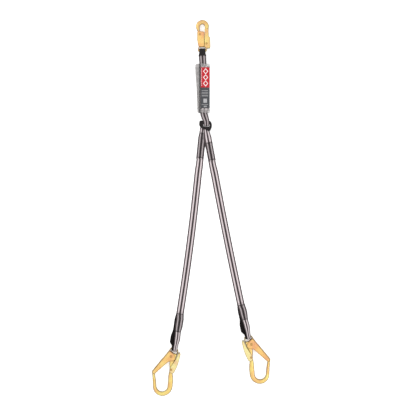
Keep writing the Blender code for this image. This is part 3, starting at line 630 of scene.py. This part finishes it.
def top_centre(distance):
    """Plan position: 6.5 mm left of the middle line, and 2 mm more at the eye."""
    share = ease(distance, PACK_HALF_LENGTH, SNAP_EYE[0] - 8.0)
    return np.stack([-6.5 - 2.0 * share, distance], 1)


def top_width(distance):
    """WEB_WIDTH, and SNAP_EYE_WEB_WIDTH in the eye."""
    return WEB_WIDTH - (WEB_WIDTH - SNAP_EYE_WEB_WIDTH) * ease(
        distance, SNAP_EYE[0] - 18.0, SNAP_EYE[0] - 8.5)


def no_lean(path):
    """Every ply lies straight over the other."""
    return np.zeros(len(path))


def pack_loop(name, bar, radius, centre, width):
    """A loop of the pack's webbing: a tail, the loop about a bar, and the other tail.
    Returns the loop's side view and the piece."""
    loop = eye_loop(bar, radius, bar[0] - PACK_HALF_LENGTH + 4.0, *TAIL_Z)
    line = strap_line(np.concatenate([level_run(TAIL_START, TAIL_END, TAIL_Z[0]), loop,
                                      level_run(TAIL_END, TAIL_START, TAIL_Z[1])]),
                      centre, width, no_lean)
    # The whole loop is darker, as a sewn zone is, though no stitches are drawn on it.
    return loop, strap_piece(name, line, WEB_THICK, striped, "pack",
                             [(-9.0, line["length"][-1] + 9.0)])


top_loop, top_strap = pack_loop("top_loop_strap", SNAP_EYE, TOP_LOOP_R, top_centre, top_width)
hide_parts("top_loop_webbing")


def sleeve_piece(name, line, inside, outside, gap, material, body):
    """A thin tube round a strap: the strap's section at two thicknesses, carried along the
    line and joined at both ends."""
    across, inner_height = strap_section(inside)
    outer_height = strap_section(outside)[1]
    count = len(line["spot"])
    around = len(across)
    wall = count * around
    points = np.stack([carried(line, across, outer_height, gap + (outside - inside) / 2.0),
                       carried(line, across, inner_height, gap)])
    quads = ring_faces(count, around)
    ring = np.arange(around) + [[0], [wall - around]]
    ahead = np.roll(ring, -1, 1)
    ends = np.stack([ring, ahead, ahead + wall, ring + wall], -1).reshape(-1, 4)
    woven = woven_places(across, line["length"][:, None], 1.0)
    return mesh_piece(name, points, [*quads, *(quads[:, ::-1] + wall), *ends], material, body,
                      [woven, woven])


black_cloth = webbing_material("black_webbing", [
    (0.0, (40, 36, 37)), (0.7, (44, 40, 41)), (0.85, (34, 30, 31)), (1.0, (30, 27, 28))],
    WEB_WIDTH, 0.85, 0.8, 0.04)
sleeve_line = strap_line(top_loop[top_loop[:, 0] > SNAP_EYE[0] - 21.0], top_centre, top_width, no_lean)
sleeve = sleeve_piece("top_loop_sleeve", sleeve_line, WEB_THICK + 2.0 * CLEARANCE,
                      WEB_THICK + 2.0 * (CLEARANCE + SLEEVE_THICK), CLEARANCE, black_cloth, "pack")
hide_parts("top_loop_wear_sleeve")


# Bottom loop and hitch: the pack's webbing ends in a loop below it, and a black wear band
# goes through that loop and round the folded upper ends of both legs.
BOTTOM_BIGHT = (141.0, 8.65)
BOTTOM_BIGHT_R = 7.35
BOTTOM_NARROWING = 5.5
BAND_Z = (11.3, 14.1)
BAND_STEPS = 120
BAND_SIDES = 18


def bottom_centre(distance):
    """Plan position: 2 mm left of the middle line, and 8 mm right of it at the bight."""
    share = ease(distance, PACK_HALF_LENGTH, BOTTOM_BIGHT[0] - 4.0)
    return np.stack([-2.0 + 10.0 * share, -distance], 1)


def bottom_width(distance):
    """WEB_WIDTH, less BOTTOM_NARROWING at the bight."""
    return WEB_WIDTH - BOTTOM_NARROWING * ease(distance, PACK_HALF_LENGTH + 12.0, BOTTOM_BIGHT[0] - 2.0)


bottom_strap = pack_loop("bottom_loop_strap", BOTTOM_BIGHT, BOTTOM_BIGHT_R, bottom_centre,
                         bottom_width)[1]
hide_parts("bottom_loop_webbing")


def closed_spline(points, count):
    """A smooth closed line through the points, at even steps: cubics whose slope at a point
    is half the way from the one before it to the one after."""
    points = np.asarray(points, float)
    t = np.linspace(0.0, len(points), count, endpoint=False)
    index = t.astype(int)
    u = (t - index)[:, None]
    p = [points[(index + k) % len(points)] for k in (-1, 0, 1, 2)]
    return 0.5 * (2 * p[1] + (p[2] - p[0]) * u + (2 * p[0] - 5 * p[1] + 4 * p[2] - p[3]) * u ** 2
                  + (3 * p[1] - p[0] - 3 * p[2] + p[3]) * u ** 3)


def squarer(value):
    """A sine or cosine to the power 0.55, with its sign, so that a circle bulges out."""
    return np.sign(value) * np.abs(value) ** 0.55


band_outside = closed_spline([(-17.0, -128.0), (2.0, -127.5), (20.0, -128.0), (28.5, -139.0),
                              (28.0, -156.0), (20.0, -169.5), (8.0, -165.0), (-7.0, -158.5),
                              (-18.5, -151.5), (-21.0, -138.0)], BAND_STEPS)
band_inside = closed_spline([(-3.5, -141.0), (8.0, -140.6), (19.0, -141.0), (20.6, -145.5),
                             (18.6, -150.8), (8.0, -150.8), (-3.0, -150.4), (-4.8, -145.5)], 480)
nearest = np.argmin(np.linalg.norm(band_outside[:, None] - band_inside[None], axis=2), axis=1)
band_match = band_inside[nearest]
band_match = (np.roll(band_match, 2, 0) + np.roll(band_match, -2, 0) + band_match) / 3.0
band_turn = np.radians(np.arange(BAND_SIDES) * 360.0 / BAND_SIDES)
band_wave = np.sin(np.linspace(0.0, 14.0 * math.pi, BAND_STEPS, endpoint=False))
band_mid = (band_outside + band_match) / 2.0
band_half = (band_outside - band_match) / 2.0
band_points = np.concatenate([
    band_mid[:, None, :] + band_half[:, None, :] * squarer(np.cos(band_turn))[None, :, None],
    (sum(BAND_Z) / 2.0 + (BAND_Z[1] - BAND_Z[0]) / 2.0 * squarer(np.sin(band_turn))[None, :, None]
     * (0.86 + 0.14 * band_wave[:, None, None] * np.cos(3.0 * band_turn)[None, :, None]))], -1)
band = mesh_piece("hitch_band", band_points, ring_faces(BAND_STEPS, BAND_SIDES, closed=True),
                  black_cloth, "pack",
                  woven_places(np.cos(band_turn), length_along(band_mid)[:, None], 1.0))
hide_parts("hitch_wear_band")


# Tear webs: the absorber's two long strips of coarse webbing, each folded in three, one
# below and one above the tails of the loops. They rip apart when they stop a fall.
TEAR_WIDTH = 38.0
TEAR_THICK = 3.2
TEAR_STEP = 3.6
TEAR_REACH = 86.0 - TEAR_STEP / 2.0
tear_cloth = webbing_material("tear_webbing", [
    (0.0, (96, 88, 90)), (0.10, (96, 88, 90)), (0.16, (186, 178, 180)),
    (0.52, (206, 198, 200)), (0.60, (120, 112, 114)), (0.74, (116, 108, 110)),
    (0.80, (150, 142, 144)), (0.88, (96, 90, 91)), (1.0, (86, 80, 81))], TEAR_WIDTH)


def tear_centre(distance):
    """Plan position: on the middle line, downwards."""
    return np.stack([np.zeros(len(distance)), -distance], 1)


def tear_width(distance):
    """TEAR_WIDTH all along."""
    return np.full(len(distance), TEAR_WIDTH)


for tear_name, first, step in (("lower", 2.7, TEAR_STEP), ("upper", 26.3, -TEAR_STEP)):
    parts = []
    for layer, way in enumerate((1.0, -1.0, 1.0)):
        height = first + layer * step
        parts.append(level_run(-way * TEAR_REACH, way * TEAR_REACH, height, 30))
        if layer < 2:
            angle = np.radians(np.linspace(15, 165, 9))
            parts.append(np.stack([way * (TEAR_REACH + TEAR_STEP / 2.0 * np.sin(angle)),
                                   height + step / 2.0 * (1.0 - np.cos(angle))], 1))
    tear_line = strap_line(np.concatenate(parts), tear_centre, tear_width, no_lean)
    tear = strap_piece("tear_web_" + tear_name, tear_line, TEAR_THICK, tear_cloth, "pack")
    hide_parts("absorber_tear_web_" + tear_name)


# Card: a printed sheet that lies on the upper tear web under the clear film. It is red above
# and dark grey below, with a column of open diamonds, plain bars and a plain square.
CARD_X = (-14.4, 20.4)
CARD_Y = (-79.6, 81.6)
CARD_HEIGHT = 28.5
CARD_HALF_THICK = 0.22
card_x, card_y = np.meshgrid(np.linspace(*CARD_X, 15), np.linspace(*CARD_Y, 41))
card_z = CARD_HEIGHT + 0.12 * np.sin(card_y / 19.0) * np.cos(card_x / 9.0)
card_sheet = np.stack([card_x, card_y, card_z], -1)
card_half = np.array([0.0, 0.0, CARD_HALF_THICK])
card_spot = np.arange(card_x.size).reshape(card_x.shape)
card_top = np.stack([card_spot[:-1, :-1], card_spot[:-1, 1:], card_spot[1:, 1:],
                     card_spot[1:, :-1]], -1).reshape(-1, 4)
card_rim = np.concatenate([card_spot[0], card_spot[1:, -1], card_spot[-1, -2::-1],
                           card_spot[-2:0:-1, 0]])
card_ahead = np.roll(card_rim, -1)
card_edge = np.stack([card_rim, card_rim + card_x.size, card_ahead + card_x.size, card_ahead], 1)

card_material, card_tree, card_shader = plain_material("printed_card")
card_place = object_place(card_tree)
print_x, print_y = axes_of(card_place)[:2]
DIAMOND_X = 4.5
DIAMOND_HALF = (10.0, 12.0)
DIAMOND_INSIDE = 0.70


def inside_box(low, high):
    """1 inside a rectangle given by its low and high corner in millimetres, else 0: the
    product of four tests."""
    return times(times(calc("GREATER_THAN", print_x, low[0] * MM),
                       calc("LESS_THAN", print_x, high[0] * MM)),
                 times(calc("GREATER_THAN", print_y, low[1] * MM),
                       calc("LESS_THAN", print_y, high[1] * MM)))


ink = mixed(linear(62, 64, 68), linear(178, 12, 30), calc("GREATER_THAN", print_y, 2.0 * MM))
# An open diamond: |x| / a + |y within its row| / b lies between DIAMOND_INSIDE and 1.
diamond_y = calc("SUBTRACT", calc("PINGPONG", calc("SUBTRACT", print_y, 6.0 * MM),
                                  DIAMOND_HALF[1] * MM), DIAMOND_HALF[1] * MM)
diamond_x = calc("SUBTRACT", print_x, DIAMOND_X * MM)
diamond = calc("ADD", calc("DIVIDE", calc("ABSOLUTE", diamond_x), DIAMOND_HALF[0] * MM),
               calc("DIVIDE", calc("ABSOLUTE", diamond_y), DIAMOND_HALF[1] * MM))
diamond_line = times(calc("GREATER_THAN", diamond, DIAMOND_INSIDE), calc("LESS_THAN", diamond, 1.0))
ink = mixed(ink, linear(244, 240, 240), times(diamond_line, inside_box((-7, 6), (16, 78))))
for bar_at in np.arange(8.0, 74.0, 8.0):
    ink = mixed(ink, linear(236, 200, 204),
                inside_box((-12.5, float(bar_at)), (-10.5, float(bar_at) + 5.5)))
for low, high, tone in (((-11, -12), (14, -9), 140), ((-11, -22), (14, -17), 128),
                        ((-11, -33), (14, -27), 124), ((-4, -58), (10, -42), 168),
                        ((-11, -66), (14, -64), 150), ((-3, -75), (9, -70), 150)):
    ink = mixed(ink, linear(tone, tone, tone + 2), inside_box(low, high))
set_inputs(card_shader, Base_Color=ink, Roughness=0.5, Specular_IOR_Level=0.15,
           Normal=bumped(noise(card_place, 240.0), 0.12, 0.0003))
card = mesh_piece("label_card", [card_sheet + card_half, card_sheet - card_half],
                  [*card_top, *(card_top[:, ::-1] + card_x.size), *card_edge], card_material,
                  "pack", angle=40.0)
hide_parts("absorber_label_card")


# Film: clear plastic shrunk over the pack, wrinkled across near its open ends, with the
# spare edge pressed flat and crimped on the left. The section is a round-cornered box with a
# fin, a little lower at both ends.
FILM_ROWS = 292
FILM_HALF_WIDTH = 22.0
FILM_HEIGHT = 30.0
FILM_WALL = 0.25
FILM_CORNER = 2.6
CRIMP_PITCH = 4.2
film_y = np.linspace(-PACK_HALF_LENGTH, PACK_HALF_LENGTH, FILM_ROWS)
film_fin = np.interp(film_y, [-97, -89, -60, 6, 60, 89, 97], [5.0, 6.2, 7.0, 9.8, 13.8, 15, 11.5])
film_squeeze = np.interp(film_y, [-97, -89, 89, 97], [3.0, 0.0, 0.0, 3.0])


def film_section(squeeze, fin):
    """The film's outline at one place: fin tip, fin top, round corner, flat top, round
    corner, the same underneath, fin underside."""
    edge = FILM_HALF_WIDTH
    inset = edge - 2.0 * FILM_CORNER
    height = FILM_HEIGHT - squeeze
    angle = np.radians(np.linspace(180, 90, 6))
    left_top = FILM_CORNER * np.stack([np.cos(angle), np.sin(angle)], 1) + [
        FILM_CORNER - edge, height - FILM_CORNER]
    upper = np.concatenate([left_top, level_run(-inset, inset, height, 12), left_top[::-1] * [-1, 1]])
    lower = upper[::-1] * [1, -1] + [0, FILM_HEIGHT]
    tip = -edge - fin
    middle = FILM_HEIGHT / 2.0
    fin_top = level_run(tip + 1.2, -edge - 2.5, middle + 1.0, 6)
    return np.concatenate([[(tip, middle)], fin_top, [(-edge, middle + 3.0)], upper, lower,
                           [(-edge, middle - 3.0)], fin_top[::-1] - [0, 2.0]])


film_rows = np.stack([film_section(squeeze, fin) for squeeze, fin in zip(film_squeeze, film_fin)])
film_around = film_rows.shape[1]
film_phase = np.linspace(0.0, 2.0 * math.pi, film_around, endpoint=False)[None, :]
film_end = np.clip((np.abs(film_y) - 62.0) / 35.0, 0.0, 1.0)[:, None]
# Wrinkles: a dent of 0.1 mm, and 0.55 mm more near the ends, times a sine along the film that
# the place round it bends. The flat top over the card has under half of it.
film_dent = -(0.10 + 0.55 * film_end) * (0.5 + 0.5 * np.sin(
    film_y[:, None] / 2.3 + 2.5 * np.sin(film_phase * 2.0) + 1.7 * np.cos(film_phase)))
film_way = unit(film_rows - np.array([0.0, FILM_HEIGHT / 2.0]))
film_mask = 1.0 - (np.abs(film_rows[:, :, 1] - 28.9) < 1.2) * 0.55
film_rows = film_rows + film_way * (film_dent * film_mask)[:, :, None]
film_rows[:, :, 1] += 0.22 * np.sin(film_y[:, None] * 2.0 * math.pi / CRIMP_PITCH) * np.clip(
    (-22.5 - film_rows[:, :, 0]) / 1.5, 0.0, 1.0)
film_points = np.insert(film_rows, 1, film_y[:, None], axis=2)

film_material, film_tree, film_shader = plain_material("clear_film")
film_place = object_place(film_tree)
film_x, film_length = axes_of(film_place)[:2]
film_map = add_node(film_tree, "Mapping", Vector=film_place, Scale=(0.35, 1.6, 0.35))
film_cloud = noise(film_map.outputs["Vector"], 90.0, 4.0)
film_edge = calc("LESS_THAN", film_x, -22.3 * MM)
# Painted shade: a dark grey, half opaque strip on the film along the pack's left side, inside the
# crimped edge.
film_side_shade = times(calc("LESS_THAN", film_x, -14.8 * MM), calc("SUBTRACT", 1.0, film_edge))
film_crimp = times(film_edge, scaled(calc("SINE", times(
    film_length, 2.0 * math.pi / (CRIMP_PITCH * MM))), 0.5, 0.5))
film_far = calc("GREATER_THAN", calc("ABSOLUTE", film_length), 82.5 * MM)
film_alpha = scaled(film_edge, 0.62, scaled(film_side_shade, 0.5, scaled(
    film_far, 0.24, scaled(film_cloud, 0.03, 0.0))))
# Painted shade: the crimp's ribs also darken the fin's colour in stripes, besides bumping it.
film_tone = colour_ramp(scaled(film_crimp, -0.22, film_cloud),
                        [(0.0, linear(150, 147, 147)), (1.0, linear(214, 211, 210))])
set_inputs(film_shader, Base_Color=mixed(film_tone, linear(82, 79, 80), film_side_shade), Roughness=0.16,
           Alpha=film_alpha, Normal=bumped(calc("ADD", film_cloud, film_crimp), 0.25, 0.0008))
film = mesh_piece("clear_film_cover", film_points, ring_faces(FILM_ROWS, film_around),
                  film_material, "pack")
film_wall = film.modifiers.new("film", "SOLIDIFY")
film_wall.thickness = FILM_WALL * MM
film_wall.offset = -1.0
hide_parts("absorber_cover")


# Hooks: forged steel bodies and pressed steel gates and levers, all plated in yellow zinc,
# turned on rolled rivets and closed by springs of bright wire.
plating, plating_in, plating_out = new_group(
    "yellow_zinc", {"Grain": 0.22}, {"Color": "Color", "Roughness": "Float", "Height": "Float"})
plating_place = object_place(plating)
plating_tint = colour_ramp(noise(plating_place, 34.0, 3.0), [
    (0.32, linear(212, 158, 108)), (0.5, linear(222, 184, 107)), (0.70, linear(224, 202, 120))])
plating_fine = noise(plating_place, 420.0, 5.0)
plating_shade = scaled(plating_fine, plating_in["Grain"], 0.89)
set_inputs(plating_out, Color=mixed(plating_tint, plating_shade, blend="MULTIPLY"),
           Roughness=scaled(plating_fine, 0.26, 0.18), Height=plating_fine)


def plated_material(name, tint, metallic, depth, coat):
    """Yellow zinc on steel, with the grain of the metal under it. Painted shade turns it brown
    along the edges, where the rim attribute goes from 0 to 1, for the dark reflections and
    shadow lines on rounded edges."""
    material, tree, shader = plain_material(name)
    finish = add_node(tree, "Group")
    finish.node_tree = plating
    grain = finish.outputs["Height"]
    # Painted shade: the rim attribute browns the plating along edges and their rounding, for their dark
    # reflections and shadow lines.
    edge_shade = times(calc("POWER", attribute(tree, "rim")["Fac"], 0.8), scaled(grain, 0.9, 0.42))
    toned = mixed(finish.outputs["Color"], tint, blend="MULTIPLY")
    set_inputs(shader, Base_Color=mixed(toned, linear(56, 33, 14), edge_shade), Metallic=metallic,
               Roughness=finish.outputs["Roughness"], Coat_Weight=coat,
               Normal=bumped(grain, depth, 0.0002))
    return material


forged_metal = plated_material("plated_forging", (0.98, 1.02, 1.05, 1.0), 0.75, 0.5, 0.1)
snap_metal = plated_material("plated_snap_body", (0.90, 0.98, 1.05, 1.0), 0.75, 0.5, 0.1)
gate_metal = plated_material("plated_gate", (0.99, 0.91, 0.98, 1.0), 0.7, 0.25, 0.2)
snap_gate_metal = plated_material("plated_snap_gate", (0.96, 1.02, 1.15, 1.0), 0.7, 0.25, 0.2)
lever_metal = plated_material("plated_lever", (0.97, 1.18, 1.7, 1.0), 0.7, 0.25, 0.2)
rivet_metal = plated_material("plated_rivet", (0.98, 0.97, 0.98, 1.0), 0.8, 0.3, 0.1)
wire_material, wire_tree, wire_shader = plain_material("spring_wire")
wire_tone = colour_ramp(noise(object_place(wire_tree), 300.0),
                        [(0.0, linear(120, 120, 124)), (1.0, linear(180, 180, 184))])
set_inputs(wire_shader, Base_Color=wire_tone, Metallic=1.0, Roughness=0.3)

nodes = frame["nodes"]
joints = {joint["name"]: joint for joint in frame["joints"]}


def mesh_spots(mesh):
    """All points of a mesh, in metres."""
    spots = np.zeros(len(mesh.vertices) * 3)
    mesh.vertices.foreach_get("co", spots)
    return spots.reshape(-1, 3)


def whole_numbers(items, name):
    """One whole number of each of a mesh's faces or corners."""
    values = np.zeros(len(items), np.int32)
    items.foreach_get(name, values)
    return values


def dressed(node_name, material, angle, facing=None, rim=0.0):
    """A copy of a CAD solid with its corners joined and shaded smooth up to an angle. For a
    plate that faces a given way, the attribute rim says how much painted edge shade a point
    takes: 0 on the two flat sides, 1 on the rounding beside them, 0.4 between. On a sheet, whose
    rim width is above 0, only a strip along the outline of its flat sides takes it, from 1 to 0."""
    mesh = nodes[node_name].data.copy()
    shape = bmesh.new()
    shape.from_mesh(mesh)
    bmesh.ops.remove_doubles(shape, verts=shape.verts, dist=1e-6)
    for way in (facing, -facing) if rim else ():
        height = max(face.calc_center_median().dot(way) for face in shape.faces)
        flat = [face for face in shape.faces if face.normal.dot(way) > 0.999
                and face.calc_center_median().dot(way) > height - 1e-4]
        strip = bmesh.ops.inset_region(shape, faces=flat, thickness=rim * MM,
                                       use_even_offset=True, use_boundary=True)["faces"]
        for number, faces in ((1, strip), (2, flat)):
            for face in faces:
                face.material_index = number
    shape.to_mesh(mesh)
    shape.free()
    # The rim attribute: how much painted edge shade the plating takes at each point, 0.4 where not set.
    edge_shading = np.full(len(mesh.vertices), 0.4, np.float32)
    if facing is not None:
        height = mesh_spots(mesh) @ np.array(facing)
        level = np.abs(2.0 * height - height.max() - height.min()) / np.ptp(height)
        if not rim:
            edge_shading = np.interp(level, [0.5, 0.7, 0.97, 0.995], [0.4, 1.0, 1.0, 0.0])
        corners = whole_numbers(mesh.loops, "vertex_index")
        kind = np.repeat(whole_numbers(mesh.polygons, "material_index"),
                         whole_numbers(mesh.polygons, "loop_total"))
        edge_shading[corners[kind == 1]] = 1.0
        edge_shading[corners[kind == 2]] = 0.0
        mesh.polygons.foreach_set("material_index", np.zeros(len(mesh.polygons), np.int32))
    mesh.attributes.new("rim", "FLOAT", "POINT").data.foreach_set("value", edge_shading)
    mesh.name = node_name + "_finish"
    mesh.materials.clear()
    piece = finished(mesh.name, mesh, material, angle)
    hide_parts(node_name)
    return piece


# The scaffold hook's forging is heavier down its spine and round its bow than its solid: from
# 12.5 mm the stock grows to about 19 mm. The growths go from the spine, at 0 degrees, round
# the bow to the nose at 180, where it stays as slim as the solid.
HOOK_GATE_PIVOT = np.array([-5.0, -32.0])
HOOK_LEVER_PIVOT = np.array([9.5, -82.0])
BOW_CENTRE = np.array([-7.2, -154.0])
BOW_MIDDLE_R = 30.55
BOW_TURN = 11.4
SPINE_SIDE = 15.0
STOCK_EDGE = 2.5
OUTER_GROWTH = ([0, 100, 140, 180], [3.6, 4.2, 2.2, 0.0])
INNER_GROWTH = ([0, 50, 110, 180], [3.2, 1.2, 0.3, 0.0])


def widen_bow(piece, gate, lever):
    """Moves the outer edge of the spine and bow outwards and the inner edge inwards. The
    middle line is a straight spine that meets a half circle; the offset from it, over
    STOCK_EDGE and cut to -1..1, times the growth there is how far a point moves. The gate's
    and lever's joints say where the hook lies."""
    upright = np.array(gate["axis"])
    pivot = np.array(gate["pos_m"]) / MM
    down = np.array(lever["pos_m"]) / MM - pivot
    down = unit(down - upright * (down @ upright))
    plan_down = unit(HOOK_LEVER_PIVOT - HOOK_GATE_PIVOT)
    plan_beside = np.array([-plan_down[1], plan_down[0]])
    axes = np.outer(plan_down, down) + np.outer(plan_beside, np.cross(upright, down))
    spots = mesh_spots(piece.data) / MM
    plan = (spots - pivot) @ axes.T + HOOK_GATE_PIVOT - BOW_CENTRE
    turn = math.radians(BOW_TURN)
    out_of_spine = np.array([math.cos(turn), math.sin(turn)])
    beside_spine = plan @ out_of_spine
    up_spine = plan @ np.array([-math.sin(turn), math.cos(turn)])
    radius = np.linalg.norm(plan, axis=1)
    round_bow = (BOW_TURN - np.degrees(np.arctan2(plan[:, 1], plan[:, 0]))) % 360.0
    on_bow = up_spine < 0.0
    on_spine = beside_spine > SPINE_SIDE
    outward = np.where(on_bow[:, None], plan / radius[:, None], out_of_spine)
    outer = np.where(on_bow, np.interp(round_bow, *OUTER_GROWTH),
                     OUTER_GROWTH[1][0] * on_spine * (1.0 - ease(up_spine, 28.0, 54.0)))
    inner = np.where(on_bow, np.interp(round_bow, *INNER_GROWTH),
                     INNER_GROWTH[1][0] * on_spine * (1.0 - ease(up_spine, 36.0, 70.0)))
    share = np.clip((np.where(on_bow, radius, beside_spine) - BOW_MIDDLE_R) / STOCK_EDGE, -1.0, 1.0)
    spots += (outward * (share * np.where(share > 0.0, outer, inner))[:, None]) @ axes
    piece.data.vertices.foreach_set("co", (spots * MM).ravel())
    piece.data.update()


def shade_gate_outer_edge(piece, gate, lever):
    """Painted shade along a gate's outer edge: the rim attribute stays as it is there and falls
    to a third across the gate, on the side where the lock lever is."""
    upright = np.array(gate["axis"])
    pivot = np.array(gate["pos_m"])
    spots = mesh_spots(piece.data) - pivot
    spots -= np.outer(spots @ upright, upright)
    along = spots[np.argmax(np.linalg.norm(spots, axis=1))]
    across = unit(np.cross(upright, along))
    across *= np.sign(across @ (np.array(lever["pos_m"]) - pivot))
    rim = piece.data.attributes["rim"].data
    edge_shading = np.zeros(len(rim), np.float32)
    rim.foreach_get("value", edge_shading)
    rim.foreach_set("value", edge_shading * np.interp(spots @ across / MM, [-4.0, 4.0], [1.0, 0.33]))


LEVER_RIM = 0.8

for hook, body_finish, gate_finish, lever_finish, gate_rim in (
        ("left", forged_metal, gate_metal, lever_metal, 3.2),
        ("right", forged_metal, gate_metal, lever_metal, 3.2),
        ("snap", snap_metal, snap_gate_metal, gate_metal, 1.1)):
    node = hook + "_hook"
    gate = joints[hook + "_gate_open"]
    lever = joints[hook + "_lever_press"]
    facing = Vector(gate["axis"]).normalized()
    for ending, finish, rim, slot_name in (("_body", body_finish, 0.0, "forged_plated"),
                                           ("_gate", gate_finish, gate_rim, "sheet_plated"),
                                           ("_lock_lever", lever_finish, LEVER_RIM, "sheet_plated")):
        piece = dressed(node + ending, finish, 50, facing, rim)
        if ending == "_body" and hook != "snap":
            widen_bow(piece, gate, lever)
        if ending == "_gate":
            shade_gate_outer_edge(piece, gate, lever)
        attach(piece, nodes[node + ending]["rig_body"])
    for ending in ("_gate_rivet", "_lever_rivet"):
        piece = dressed(node + ending, rivet_metal, 50)
        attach(piece, nodes[node + ending]["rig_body"])

    # The gate's spring is wound round its rivet, and the lever's spring is pressed between the
    # lever and the body. Both are dressed copies baked where they lie; neither turns with its gate
    # or lever.
    piece = dressed(node + "_gate_spring", wire_material, 70)
    pivot = np.array(gate["pos_m"])
    arms = mesh_spots(piece.data) - pivot
    arms -= np.outer(arms @ np.array(facing), facing)
    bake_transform(piece)
    piece = dressed(node + "_lever_spring", wire_material, 70)
    spots = mesh_spots(piece.data)
    middle = spots.mean(0)
    press = unit(np.cross(lever["axis"], middle - np.array(lever["pos_m"])))
    press *= np.ptp(spots @ press) / 2.0
    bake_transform(piece)

low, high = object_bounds()
